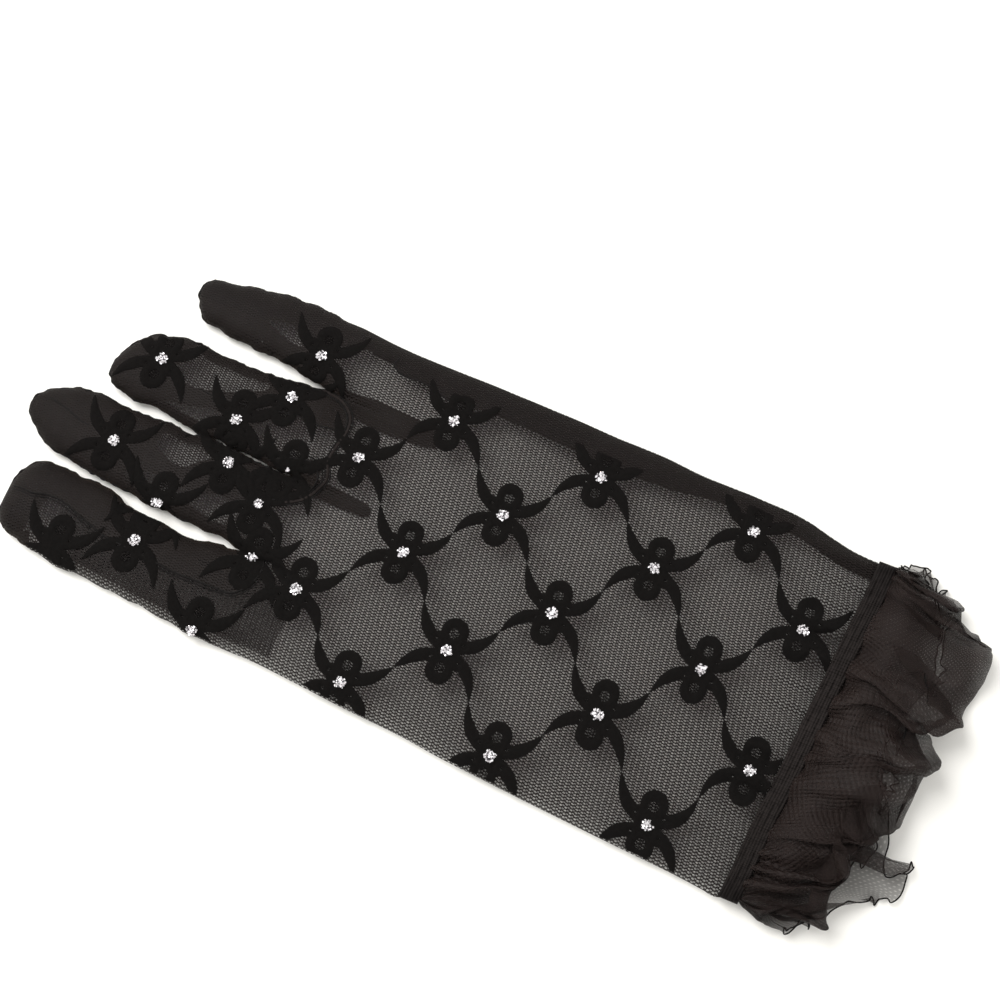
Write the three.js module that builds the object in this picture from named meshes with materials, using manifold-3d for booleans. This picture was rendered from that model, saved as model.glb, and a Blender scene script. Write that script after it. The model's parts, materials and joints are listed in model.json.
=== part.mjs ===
// Sheer stretch-net glove for a right hand, lying on its palm.
// Millimetres, +Y from the cuff to the fingertips, +X to the little finger, +Z up.
import * as THREE from "three";
import { mergeVertices } from "three/addons/utils/BufferGeometryUtils.js";
import Module from "manifold-3d";

const wasm = await Module();
wasm.setup();

// Driving dimensions
const WALL = 1.0; // thickness of the net and of the knitted gussets
const GAP = 0.3; // between neighbouring pieces
const HAND_HEIGHT = 7.0; // back of the hand above the floor
const FINGER_HEIGHT = 6.8; // a finger stall lying flat
const BACK_LAYER = 3.2; // above this height lies only the back layer
const PALM_LAYER = 1.15; // below this height lies only the palm layer
const UNDER = -2; // clear below the glove
const OVER = 12; // clear above its fingers
const WRIST_SLANT = -0.1; // the wrist edge runs askew: y changes by this much per x
const WRIST_MIDDLE = -3.6; // x of the middle of the wrist
const WRIST_FADE = 42; // y where the slant has died away

const BAND_WIDTH = 4.8; // along the arm
const BAND_HALF_GIRTH = 42.4; // half of the band's flat length
const BAND_WALL = 1.2;
const BAND_HEIGHT = 7.2;
const BAND_RIBS = 6;
const RIB_DEPTH = 0.25;

const GATHER_DEPTH = 0.35; // puckers of the net at the band
const GATHER_PITCH = 12.8;
const GATHER_REACH = 20;

const RUFFLE_DEPTH = 33; // at the middle of the back
const RUFFLE_END_DEPTH = 7; // at the two folded ends
const RUFFLE_FLARE = 5; // the free edge is this much wider at each side
const RUFFLE_RISE = 4.6; // the upper half climbs this much towards its free edge
const RUFFLE_FOLDS = 18; // round the whole edge
const RUFFLE_WAVE = 2.6; // height of a fold at the free edge, each way
const RUFFLE_FLOOR_WAVE = 0.3; // the lower half is pressed flat
const RUFFLE_TUCK = 1.2; // it starts this much inside the band's girth
const RUFFLE_FULLNESS = 3.2; // how soon its layers part from the folded ends

const THUMB_LIFT = 2.6; // the folded thumb lifts the index finger by this much
const THUMB_HEIGHT = THUMB_LIFT - GAP;

// Flat outline of the hand: y, x of the index edge, x of the little edge, height of the back
const HAND_ROWS = [
  { y: 2.7, left: -45.6, right: 38.6, height: 7.2 },
  { y: 8, left: -45.0, right: 40.4, height: 7.1 },
  { y: 15, left: -44.4, right: 42.3, height: 7.0 },
  { y: 28, left: -43.6, right: 43.8, height: HAND_HEIGHT },
  { y: 52, left: -41.9, right: 44.8, height: HAND_HEIGHT },
  { y: 80, left: -39.6, right: 46.4, height: HAND_HEIGHT },
  { y: 94, left: -38.4, right: 47.9, height: HAND_HEIGHT },
  { y: 104, left: -37.5, right: 47.7, height: 6.9 },
  { y: 113, left: -36.8, right: 48.0, height: 6.8 },
  { y: 122, left: -36.2, right: 49.0, height: 6.8 },
  { y: 127.6, left: -36.0, right: 49.3, height: FINGER_HEIGHT },
  { y: 129.4, left: -35.3, right: 48.6, height: 5.6 },
];

// Flat outline of each stall, from inside the hand to where its tip starts to round off.
// The tip's bluntness is 2 for an ellipse and more for a squarer end.
const FINGERS = {
  index: {
    tip: { x: -19.8, y: 192.4, bluntness: 3 },
    rows: [
      { y: 114, left: -36.0, right: -16.6, height: 6.4 },
      { y: 124, left: -35.8, right: -15.4, height: 6.5 },
      { y: 132, left: -35.9, right: -15.2, height: 6.9 },
      { y: 140, left: -35.5, right: -13.7, height: 7.0 },
      { y: 148, left: -34.6, right: -14.7, height: 7.0 },
      { y: 160, left: -33.7, right: -13.7, height: 7.0 },
      { y: 171, left: -32.8, right: -11.0, height: 6.9 },
      { y: 180, left: -31.7, right: -10.2, height: 6.6 },
    ],
  },
  middle: {
    tip: { x: 1.8, y: 196.2, bluntness: 2.1 },
    rows: [
      { y: 114, left: -10.5, right: 6.2, height: 6.4 },
      { y: 124, left: -12.6, right: 7.0, height: 6.7 },
      { y: 132, left: -13.3, right: 7.3, height: FINGER_HEIGHT },
      { y: 140, left: -11.9, right: 8.0, height: FINGER_HEIGHT },
      { y: 155, left: -11.7, right: 8.8, height: FINGER_HEIGHT },
      { y: 169, left: -10.4, right: 9.2, height: FINGER_HEIGHT },
      { y: 180, left: -9.0, right: 9.9, height: 6.6 },
    ],
  },
  ring: {
    tip: { x: 18.9, y: 184.6, bluntness: 2 },
    rows: [
      { y: 114, left: 10.5, right: 28.0, height: 6.4 },
      { y: 124, left: 8.4, right: 29.8, height: 6.7 },
      { y: 132, left: 8.1, right: 30.9, height: FINGER_HEIGHT },
      { y: 140, left: 8.7, right: 30.6, height: FINGER_HEIGHT },
      { y: 156, left: 9.6, right: 29.9, height: FINGER_HEIGHT },
      { y: 164, left: 10.0, right: 30.5, height: FINGER_HEIGHT },
      { y: 172, left: 11.3, right: 30.5, height: 6.6 },
    ],
  },
  little: {
    tip: { x: 43.6, y: 173.4, bluntness: 1.9 },
    rows: [
      { y: 114, left: 33.6, right: 46.4, height: 6.4 },
      { y: 124, left: 32.6, right: 48.8, height: 6.7 },
      { y: 132, left: 32.0, right: 49.6, height: FINGER_HEIGHT },
      { y: 140, left: 32.2, right: 50.5, height: FINGER_HEIGHT },
      { y: 148, left: 33.9, right: 50.9, height: FINGER_HEIGHT },
      { y: 156, left: 34.8, right: 50.2, height: FINGER_HEIGHT },
      { y: 164, left: 35.9, right: 48.6, height: 6.6 },
    ],
  },
};

// The thumb stall lies flat on the floor under the index finger
const THUMB = {
  tip: { x: -23.8, y: 178, bluntness: 2 },
  rows: [
    { y: 120, left: -34.4, right: -16.2, height: THUMB_HEIGHT },
    { y: 142, left: -33.6, right: -15.8, height: THUMB_HEIGHT },
    { y: 156, left: -32.4, right: -15.8, height: THUMB_HEIGHT },
    { y: 167, left: -31.2, right: -16.4, height: THUMB_HEIGHT },
  ],
};
const TIP_ANGLES = [30, 57, 80]; // degrees round a tip, where its sections lie
const TIP_HEIGHT = 2.2; // a tip's edge

// Seen from above, the ground that each opaque gusset covers, from left to right at each y.
// through goes down both layers: up one finger, round the crotch and up the next finger.
// band lies on the back layer only, and tail in the palm layer only.
const GUSSETS = {
  fourchette_index_middle: {
    through: [
      { y: 126.4, left: -17, right: -13.5 },
      { y: 128, left: -20, right: -11 },
      { y: 131, left: -23, right: -10 },
      { y: 136, left: -24.5, right: -9.7 },
      { y: 144, left: -24.9, right: -9.3 },
      { y: 156, left: -24.2, right: -8.9 },
      { y: 165, left: -22.2, right: -8.3 },
      { y: 170, left: -20, right: -7.8 },
      { y: 180, left: -18, right: -6.6 },
      { y: 187, left: -18.4, right: -12 },
    ],
  },
  fourchette_middle_ring: {
    through: [
      { y: 125.2, left: 6.8, right: 8.6 },
      { y: 127, left: 5.4, right: 10.4 },
      { y: 131, left: 5, right: 11.3 },
      { y: 139, left: 5.2, right: 11.6 },
      { y: 146, left: 5.6, right: 11.8 },
      { y: 146.3, left: 8.7, right: 11.8 },
      { y: 160, left: 9.2, right: 12.3 },
      { y: 172, left: 10.4, right: 12.8 },
    ],
    band: [
      { y: 126.4, left: 2.8, right: 6 },
      { y: 128, left: 0.6, right: 6.6 },
      { y: 134, left: -0.9, right: 6.6 },
      { y: 142, left: -2, right: 6.5 },
      { y: 147, left: -3.2, right: 4.4 },
      { y: 150, left: -4, right: 2 },
      { y: 158, left: -5, right: 1.5 },
      { y: 164, left: -6.1, right: 1.2 },
      { y: 170.4, left: -6.3, right: 3 },
      { y: 173, left: -6.2, right: 6.8 },
      { y: 180, left: -5.4, right: 7.8 },
      { y: 186, left: -4.2, right: 7.6 },
      { y: 191.6, left: -1.2, right: 4.6 },
    ],
    tail: [
      { y: 110.4, left: 4.1, right: 8.9 },
      { y: 128.4, left: 4.1, right: 8.9 },
    ],
  },
  fourchette_ring_little: {
    through: [
      { y: 126.8, left: 30, right: 32 },
      { y: 128.4, left: 28.6, right: 33.8 },
      { y: 132, left: 27.6, right: 35.4 },
      { y: 140, left: 27.8, right: 36.2 },
      { y: 148, left: 28.4, right: 38 },
      { y: 149.4, left: 31.6, right: 38.4 },
      { y: 156, left: 32.6, right: 40.3 },
      { y: 166.7, left: 34.4, right: 40.4 },
    ],
    band: [
      { y: 124.6, left: 25.6, right: 27.4 },
      { y: 127, left: 23.6, right: 28.6 },
      { y: 132, left: 21.9, right: 28.9 },
      { y: 138, left: 21.9, right: 28.9 },
      { y: 148.4, left: 18.6, right: 28.9 },
      { y: 150, left: 18.1, right: 25 },
      { y: 157, left: 16.3, right: 21.3 },
      { y: 166, left: 14.9, right: 19.5 },
      { y: 174.6, left: 14.2, right: 20.4 },
      { y: 180.4, left: 15.8, right: 19 },
    ],
    tail: [
      { y: 102.8, left: 26, right: 30.8 },
      { y: 130.4, left: 26, right: 30.8 },
    ],
  },
  side_strip: {
    through: [
      { y: -8, left: 36.6, right: 56 },
      { y: 6, left: 37.4, right: 56 },
      { y: 28, left: 38.4, right: 56 },
      { y: 50, left: 38.4, right: 56 },
      { y: 74, left: 39, right: 56 },
      { y: 98, left: 41.2, right: 56 },
      { y: 124, left: 43.4, right: 56 },
      { y: 140, left: 44, right: 56 },
      { y: 150, left: 43.6, right: 56 },
      { y: 158, left: 40.9, right: 56 },
      { y: 167.1, left: 40.9, right: 56 },
      { y: 167.4, left: 33, right: 56 },
      { y: 176, left: 33, right: 56 },
    ],
  },
};

// Intervals across the flat part of a section, and up its round side
const HAND_COLUMNS = 12;
const FINGER_COLUMNS = 3;
const SIDE_STEPS = 3;

const { smoothstep, degToRad } = THREE.MathUtils;

// How far the folded thumb raises the palm layer at a place
function lift(x, y) {
  const along = smoothstep(y, 92, 118) * (1 - smoothstep(y, 181, 190));
  const across = 1 - smoothstep(x, -12.5, -8);
  return THUMB_LIFT * along * across;
}

function slant(x, y) {
  return WRIST_SLANT * (x - WRIST_MIDDLE) * (1 - smoothstep(y, 3, WRIST_FADE));
}

function gathers(x, y) {
  return GATHER_DEPTH * Math.cos((2 * Math.PI * x) / GATHER_PITCH) * (1 - smoothstep(y, 3, GATHER_REACH));
}

// Where across a flat tube its section has points, and how far from its side each one is:
// 0 on the fold and 1 where the layers lie apart in full
function stations(left, right, round, columns) {
  const side = [];
  for (let k = 0; k < SIDE_STEPS; k += 1) {
    const angle = (Math.PI / 2) * (k / SIDE_STEPS);
    side.push({ reach: round * (1 - Math.cos(angle)), open: Math.sin(angle) });
  }
  const flat = right - left - 2 * round;
  const middle = [];
  for (let k = 0; k <= columns; k += 1) {
    middle.push({ x: left + round + (flat * k) / columns, open: 1 });
  }
  const near = side.map(({ reach, open }) => ({ x: left + reach, open }));
  const far = side.map(({ reach, open }) => ({ x: right - reach, open })).reverse();
  return [...near, ...middle, ...far];
}

// One closed section across a flat tube: round sides, flat below, nearly flat above.
// inset moves it inwards by a wall; floor(x, y) is the height that its lower layer lies at.
function section(row, inset, columns, floor) {
  const centre = (row.left + row.right) / 2;
  const half = Math.max((row.right - row.left) / 2 - inset, 0.2);
  const round = Math.min(row.height / 2 - inset, (2 * half) / 3);
  const below = [];
  const above = [];
  for (const { x, open } of stations(centre - half, centre + half, round, columns)) {
    const low = floor(x, row.y) + inset;
    const high = Math.max(row.height - inset + gathers(x, row.y), low + 0.2);
    const middle = (low + high) / 2;
    const y = row.y + slant(x, row.y);
    below.push([x, y, middle - (middle - low) * open]);
    if (open > 0) {
      above.push([x, y, middle + (high - middle) * open]);
    }
  }
  return [...below, ...above.reverse()];
}

// The rows of a stall with its tip rounded off, as a superellipse seen from above
function roundedRows({ rows, tip }) {
  const base = rows[rows.length - 1];
  const centre = (base.left + base.right) / 2;
  const half = (base.right - base.left) / 2;
  const power = 2 / tip.bluntness;
  const ends = TIP_ANGLES.map((degrees) => {
    const angle = degToRad(degrees);
    const along = Math.sin(angle) ** power;
    const across = half * Math.cos(angle) ** power;
    const x = centre + (tip.x - centre) * along;
    const y = base.y + (tip.y - base.y) * along;
    const height = TIP_HEIGHT + (base.height - TIP_HEIGHT) * Math.cos(angle) ** 0.6;
    return { y, left: x - across, right: x + across, height };
  });
  return [...rows, ...ends];
}

// A closed solid through sections with the same number of points
function loft(sections) {
  const count = sections[0].length;
  const positions = sections.flat(2);
  const index = [];
  for (let s = 0; s + 1 < sections.length; s += 1) {
    for (let k = 0; k < count; k += 1) {
      const a = s * count + k;
      const b = s * count + ((k + 1) % count);
      index.push(a, b + count, b, a, a + count, b + count);
    }
  }
  const cap = (ring, start, flip) => {
    const flat = ring.map(([x, , z]) => new THREE.Vector2(x, z));
    THREE.ShapeUtils.triangulateShape(flat, []).forEach(([a, b, c]) => {
      index.push(start + a, start + (flip ? c : b), start + (flip ? b : c));
    });
  };
  cap(sections[0], 0, false);
  cap(sections[sections.length - 1], (sections.length - 1) * count, true);
  return surface(positions, index);
}

function surface(positions, index) {
  const geometry = new THREE.BufferGeometry();
  geometry.setAttribute("position", new THREE.Float32BufferAttribute(positions, 3));
  geometry.setIndex(index);
  return geometry;
}

function solid(geometry) {
  const bare = geometry.clone();
  bare.deleteAttribute("normal");
  bare.deleteAttribute("uv");
  const merged = mergeVertices(bare, 1e-4);
  const triVerts = new Uint32Array(merged.index.array);
  const vertProperties = new Float32Array(merged.attributes.position.array);
  const made = new wasm.Manifold(new wasm.Mesh({ numProp: 3, vertProperties, triVerts }));
  return made.volume() < 0 ? solid(turned(merged)) : made;
}

// The same surface with every face turned over
function turned(geometry) {
  const flipped = geometry.clone();
  const index = Array.from(geometry.index.array);
  for (let k = 0; k < index.length; k += 3) {
    [index[k + 1], index[k + 2]] = [index[k + 2], index[k + 1]];
  }
  flipped.setIndex(index);
  return flipped;
}

// The largest body of a solid, without the slivers that a cut can leave
function mainBody(made) {
  const bodies = made.decompose();
  return bodies.reduce((best, body) => (body.volume() > best.volume() ? body : best));
}

function geometryOf(made) {
  const mesh = made.getMesh();
  const geometry = surface(Array.from(mesh.vertProperties), Array.from(mesh.triVerts));
  geometry.computeVertexNormals();
  return geometry;
}

// The rows of a tube's hollow: they stop a wall short of its closed end
function hollowRows(rows) {
  const tip = rows[rows.length - 1].y;
  return rows.map((row) => ({ ...row, y: row.y - WALL * smoothstep(row.y, tip - 9, tip) }));
}

function tube(rows, inset, columns, floor) {
  return solid(loft(rows.map((row) => section(row, inset, columns, floor))));
}

// The whole sheath of cloth, back, palm and fingers in one
function sheath() {
  const mouth = { ...HAND_ROWS[0], y: HAND_ROWS[0].y - 4 };
  let outer = tube(HAND_ROWS, 0, HAND_COLUMNS, lift);
  let hollow = tube([mouth, ...hollowRows(HAND_ROWS)], WALL, HAND_COLUMNS, lift);
  for (const finger of Object.values(FINGERS)) {
    const rows = roundedRows(finger);
    outer = outer.add(tube(rows, 0, FINGER_COLUMNS, lift));
    hollow = hollow.add(tube(hollowRows(rows), WALL, FINGER_COLUMNS, lift));
  }
  return outer.subtract(hollow);
}

// An upright block over ground given by rows, grown outwards all round
function block(rows, grow, low, high) {
  const left = rows.map((row) => new THREE.Vector2(row.left, row.y));
  const right = rows.map((row) => new THREE.Vector2(row.right, row.y));
  const points = [...right, ...left.reverse()];
  const grown = points.map((point, k) => {
    const before = points[(k + points.length - 1) % points.length];
    const after = points[(k + 1) % points.length];
    const a = point.clone().sub(before).normalize();
    const b = after.clone().sub(point).normalize();
    const out = new THREE.Vector2(a.y + b.y, -a.x - b.x).normalize();
    const cosine = Math.max(0.5, out.dot(new THREE.Vector2(a.y, -a.x)));
    return point.clone().addScaledVector(out, grow / cosine);
  });
  const depth = high - low + 2 * grow;
  const geometry = new THREE.ExtrudeGeometry(new THREE.Shape(grown), { depth, bevelEnabled: false });
  geometry.translate(0, 0, low - grow);
  return solid(geometry);
}

// All the ground of one gusset
function gussetGround({ through, band, tail }, grow) {
  let ground = block(through, grow, UNDER, OVER);
  if (band) {
    ground = ground.add(block(band, grow, BACK_LAYER, OVER));
  }
  if (tail) {
    ground = ground.add(block(tail, grow, UNDER, PALM_LAYER));
  }
  return ground;
}

// The elastic is a flat ring with ribs along it
function elasticBand() {
  const left = WRIST_MIDDLE - BAND_HALF_GIRTH;
  const right = WRIST_MIDDLE + BAND_HALF_GIRTH;
  const ring = (y, inset) => {
    const flat = section({ y, left, right, height: BAND_HEIGHT }, inset, HAND_COLUMNS, () => 0);
    return flat.map(([x, , z]) => [x, y + slant(x, 0), z]);
  };
  const outer = [];
  for (let k = 0; k <= 2 * BAND_RIBS; k += 1) {
    const y = -BAND_WIDTH / 2 + (BAND_WIDTH * k) / (2 * BAND_RIBS);
    outer.push(ring(y, k % 2 === 0 ? RIB_DEPTH : 0));
  }
  const inner = [-BAND_WIDTH, BAND_WIDTH].map((y) => ring(y, BAND_WALL));
  return solid(loft(outer)).subtract(solid(loft(inner)));
}

// Middle of the frill's cloth.  around is an angle, 0 at the little-finger end, a quarter turn on the
// back; out runs from 0 at the band to 1 at the free edge.
function frillPoint(around, out) {
  const across = Math.cos(around);
  const up = Math.sin(around);
  const half = BAND_HALF_GIRTH - RUFFLE_TUCK + RUFFLE_FLARE * out;
  const x = WRIST_MIDDLE + half * across;
  const depth = RUFFLE_END_DEPTH + (RUFFLE_DEPTH - RUFFLE_END_DEPTH) * (1 - across * across) ** 0.6;
  const y = -BAND_WIDTH / 2 - GAP + slant(x, 0) - depth * out;
  const wave = Math.cos(RUFFLE_FOLDS * around) * out;
  const top = BAND_HEIGHT - BAND_WALL / 2 + RUFFLE_RISE * out;
  const bottom = BAND_WALL / 2;
  const middle = (top + bottom) / 2;
  const full = Math.min(1, Math.abs(up) * RUFFLE_FULLNESS) ** 0.6;
  const z = up >= 0
    ? middle + (top - middle) * full + RUFFLE_WAVE * wave * full
    : middle - (middle - bottom) * full + RUFFLE_FLOOR_WAVE * (wave + out) * full;
  return new THREE.Vector3(x, y, z);
}

// The frill is that surface given a wall, thinned to both sides of its middle
function ruffle() {
  const turns = RUFFLE_FOLDS * 5;
  const rows = 5;
  const step = Math.PI / turns;
  const positions = [];
  for (const side of [1, -1]) {
    for (let r = 0; r < rows; r += 1) {
      for (let k = 0; k < turns; k += 1) {
        const around = (2 * Math.PI * k) / turns;
        const out = r / (rows - 1);
        const here = frillPoint(around, out);
        const ahead = frillPoint(around + step, out).sub(frillPoint(around - step, out));
        const normal = new THREE.Vector3(ahead.z, 0, -ahead.x).normalize();
        here.addScaledVector(normal, (side * WALL) / 2);
        positions.push(here.x, here.y, here.z);
      }
    }
  }
  const at = (side, r, k) => side * rows * turns + r * turns + (k % turns);
  const index = [];
  const quad = (a, b, c, d) => index.push(a, b, c, a, c, d);
  for (let k = 0; k < turns; k += 1) {
    for (let r = 0; r + 1 < rows; r += 1) {
      quad(at(0, r, k), at(0, r, k + 1), at(0, r + 1, k + 1), at(0, r + 1, k));
      quad(at(1, r, k), at(1, r + 1, k), at(1, r + 1, k + 1), at(1, r, k + 1));
    }
    quad(at(0, 0, k), at(1, 0, k), at(1, 0, k + 1), at(0, 0, k + 1));
    quad(at(0, rows - 1, k), at(0, rows - 1, k + 1), at(1, rows - 1, k + 1), at(1, rows - 1, k));
  }
  return solid(surface(positions, index));
}

// The thumb stall is open at its root
function thumb() {
  const floor = () => 0;
  const rows = roundedRows(THUMB);
  const mouth = { ...rows[0], y: rows[0].y - 2 };
  const outer = tube(rows, 0, FINGER_COLUMNS, floor);
  const hollow = tube([mouth, ...hollowRows(rows)], WALL, FINGER_COLUMNS, floor);
  return outer.subtract(hollow);
}

const NET = { color: 0x2b2828, roughness: 0.75, metalness: 0 };
const KNIT = { color: 0x26201e, roughness: 0.8, metalness: 0 };
const ELASTIC = { color: 0x1c1918, roughness: 0.7, metalness: 0 };
const CHIFFON = { color: 0x2a2321, roughness: 0.6, metalness: 0 };

const glove = new THREE.Group();

function addPiece(name, made, finish) {
  const mesh = new THREE.Mesh(geometryOf(mainBody(made)), new THREE.MeshStandardMaterial(finish));
  mesh.name = name;
  glove.add(mesh);
}

const cloth = sheath();
let net = cloth;
Object.entries(GUSSETS).forEach(([name, gusset]) => {
  addPiece(name, cloth.intersect(gussetGround(gusset, 0)), KNIT);
  net = net.subtract(gussetGround(gusset, GAP));
});
addPiece("hand_net", net, NET);
addPiece("thumb", thumb(), NET);
addPiece("elastic_band", elasticBand(), ELASTIC);
addPiece("ruffle", ruffle(), CHIFFON);

// The origin is the middle of the glove's outline, on the floor
const box = new THREE.Box3().setFromObject(glove);
const centre = box.getCenter(new THREE.Vector3());
glove.position.set(-centre.x, -centre.y, -box.min.z);
glove.updateMatrixWorld(true);

export default glove;
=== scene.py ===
"""Sheer black stretch-net glove with flocked flowers, glitter dots, knitted gussets and a chiffon ruffle.

Places are charted in millimetres on the glove itself: x across it towards the little finger, y along it
from the wrist to the fingertips, z up from the table.  Blender objects are in metres in the CAD frame.
"""

import json
import math

import bpy
import bmesh
import numpy as np
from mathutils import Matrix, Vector

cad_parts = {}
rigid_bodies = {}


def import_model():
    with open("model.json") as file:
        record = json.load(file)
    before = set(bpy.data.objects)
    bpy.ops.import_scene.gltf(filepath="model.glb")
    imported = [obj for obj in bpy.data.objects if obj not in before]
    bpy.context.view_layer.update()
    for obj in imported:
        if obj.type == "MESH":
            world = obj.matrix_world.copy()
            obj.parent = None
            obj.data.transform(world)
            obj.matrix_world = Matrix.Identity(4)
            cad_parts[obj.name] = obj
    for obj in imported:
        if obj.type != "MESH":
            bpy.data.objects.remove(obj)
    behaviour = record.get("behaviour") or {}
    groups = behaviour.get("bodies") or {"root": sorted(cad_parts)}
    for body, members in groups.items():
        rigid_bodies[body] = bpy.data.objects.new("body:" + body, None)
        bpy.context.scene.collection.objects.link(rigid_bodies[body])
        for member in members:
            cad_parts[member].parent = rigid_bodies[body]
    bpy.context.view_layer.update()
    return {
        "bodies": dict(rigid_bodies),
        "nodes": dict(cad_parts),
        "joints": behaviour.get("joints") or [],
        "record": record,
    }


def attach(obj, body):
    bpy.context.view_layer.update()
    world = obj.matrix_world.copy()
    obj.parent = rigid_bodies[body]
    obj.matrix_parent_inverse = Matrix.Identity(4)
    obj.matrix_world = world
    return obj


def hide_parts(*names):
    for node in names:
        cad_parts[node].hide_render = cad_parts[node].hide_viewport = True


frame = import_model()

MM = 0.001
GLOVE_ZERO = np.array([0.300, 79.968])  # the chart's place of the CAD frame's origin

# The photograph's view: where the camera stands over the chart, and what it looks at
CAMERA_PLACE = np.array([-78.0, 43.3, 340.5])
LOOK_POINT = np.array([20.4, 83.6, 5.54])
FOCAL_MM = 54.0
SENSOR_MM = 36.0
CHART_HEIGHT = 6.0  # outlines were charted as they show on a plane at this height

# Heights of the cloth above the table
PALM_HEIGHT = 0.35
FOLD_HEIGHT = 2.2  # where back and palm meet at a fold
HAND_HEIGHT = 5.7
FINGER_HEIGHT = 5.2
INDEX_HEIGHT = 6.0
THUMB_LIFT = 2.5  # the folded thumb raises the index finger's underside by this much
THUMB_SPAN = ((96, 122), (178, 188), (-19, -11))  # where that begins and ends along y, and ends along x
RELIEF = ((0.30, 11, 34), (0.10, 12, 11))  # soft bumps of the back: height, seed, length
PALM_RELIEF = (0.12, 21, 18)
GATHERS = (0.8, 6.3, 2, 24)  # puckers of the net at the band: height, length, where they begin to fade, end

WRIST_MIDDLE = 0.2
WRIST_SLANT = -0.115  # the wrist's line rises by this much with each millimetre across
WRIST_Y = 0.4
BAND_Y = -1.3
BAND_MIDDLE = -2.6
BAND_HALF_GIRTH = 42.4
BAND_WIDTH = 4.6
BAND_HEIGHT = 6.6
BAND_RIBS = 7
LOWEST = 0.25  # no point of the ruffle lies lower over the table
HEM_RADIUS = 0.18

# Outline of the hand: y, index edge, little edge
HAND_EDGES = np.array([
    (-8, -38.4, 39.3), (0, -39.6, 39.4), (3, -43.2, 39.7), (6, -45.2, 40.3), (10, -44.9, 41.3),
    (14, -44.5, 42.4), (28, -43.6, 43.6), (42, -42.7, 43.9), (51, -42.1, 44.8), (63, -41.2, 45.1),
    (74, -40.3, 45.7), (83, -39.3, 46.0), (97, -38.4, 46.4), (111, -37.2, 46.6), (120, -36.5, 47.0),
    (130, -36.4, 48.1), (140, -35.9, 49.1),
])

# Each finger from the index to the little one: its tip's place and bluntness, its height, and the rows
# (y, left, right) of its outline up to where the tip rounds off
FINGERS = [
    {"tip": (-21.4, 191.3), "blunt": 2.5, "height": INDEX_HEIGHT, "edges": np.array([
        (132, -36.4, -13.8), (136, -36.0, -14.1), (140, -35.9, -14.5), (144, -35.2, -15.3),
        (148, -34.8, -15.6), (152, -34.6, -15.1), (156, -34.2, -14.9), (160, -33.8, -14.4),
        (164, -33.6, -13.4), (168, -33.5, -12.2), (172, -33.3, -11.6), (176, -32.7, -11.3),
        (180, -32.0, -11.1), (184, -30.8, -11.2),
    ])},
    {"tip": (0.9, 196.6), "blunt": 1.75, "height": FINGER_HEIGHT, "edges": np.array([
        (132, -13.8, 7.0), (136, -13.6, 7.1), (140, -12.5, 7.5), (144, -12.8, 8.0), (148, -12.4, 8.2),
        (152, -12.2, 8.5), (156, -12.0, 7.9), (160, -11.9, 7.9), (164, -11.1, 8.6), (168, -10.9, 8.0),
        (172, -10.3, 7.8), (176, -10.0, 8.2), (182, -8.8, 9.1),
    ])},
    {"tip": (16.4, 183.0), "blunt": 1.75, "height": FINGER_HEIGHT, "edges": np.array([
        (132, 7.2, 30.0), (136, 7.3, 29.6), (140, 7.7, 29.3), (144, 8.2, 28.9), (148, 8.4, 28.7),
        (152, 8.7, 28.5), (156, 8.4, 28.6), (160, 9.1, 28.8), (164, 9.7, 29.5), (168, 10.4, 29.6),
        (174, 10.4, 28.4),
    ])},
    {"tip": (42.7, 171.8), "blunt": 1.9, "height": FINGER_HEIGHT, "edges": np.array([
        (132, 30.3, 48.2), (136, 30.9, 48.5), (140, 31.5, 49.1), (144, 32.6, 49.3), (148, 33.0, 49.5),
        (152, 33.3, 49.3), (156, 33.8, 48.6), (160, 34.1, 47.9), (164, 34.7, 47.2),
    ])},
]
# Crotches from the index edge to the little edge, the two outer ones only being where fingers begin
CROTCHES = np.array([(-36.4, 131.0), (-13.9, 134.6), (7.1, 130.4), (30.2, 132.6), (48.2, 131.0)])
CROTCH_REACH = 1.6  # length over which a gap between fingers opens
FINGER_Y = 131  # the hand ends and the fingers begin about here
ROOT_BLEND = 20.0  # finger crowns fade into the hand over this length
EVEN_Y = 20  # from here down the strips that lead to the fingers share the hand's width evenly
PUCKERS = ((0.26, 41, 6.0), (0.13, 61, 2.2))  # of the fingers' outlines: height, first seed, length

# Flower lattice: the dot of flower (m, n) is at (m, n) times these steps from the first one, m + n even
LATTICE_X = 17.46
LATTICE_Y = 18.45
LATTICE_FIRST = (0.0, 100.0)


def smooth_table(at, places, values):
    """Values between a table's rows, on cubic curves whose slopes are those of the neighbouring rows."""
    at = np.clip(at, places[0], places[-1])
    slopes = np.gradient(values, places)
    k = np.clip(np.searchsorted(places, at, side="right") - 1, 0, len(places) - 2)
    step = places[k + 1] - places[k]
    t = (at - places[k]) / step
    a, b = values[k], values[k + 1]
    da, db = slopes[k] * step, slopes[k + 1] * step
    return a + t * da + t * t * (3 * (b - a) - 2 * da - db) + t ** 3 * (2 * (a - b) + da + db)


def smooth_columns(at, places, table):
    """smooth_table through each column of a table."""
    return [smooth_table(at, places, column) for column in np.transpose(table)]


def smooth(value, low, high):
    """0 below low, 1 above high and an S-curve between."""
    t = np.clip((value - low) / (high - low), 0, 1)
    return t * t * (3 - 2 * t)


def mix(a, b, share):
    return a + (b - a) * share


def closing(base, tip, count):
    """Rows from base to tip that lie closer together towards the tip, as the sine of an even angle."""
    return mix(base, tip, np.sin(np.linspace(0, math.pi / 2, count)))


def round_angles(count):
    """Even angles round a circle."""
    return 2 * math.pi * np.arange(count) / count


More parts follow.
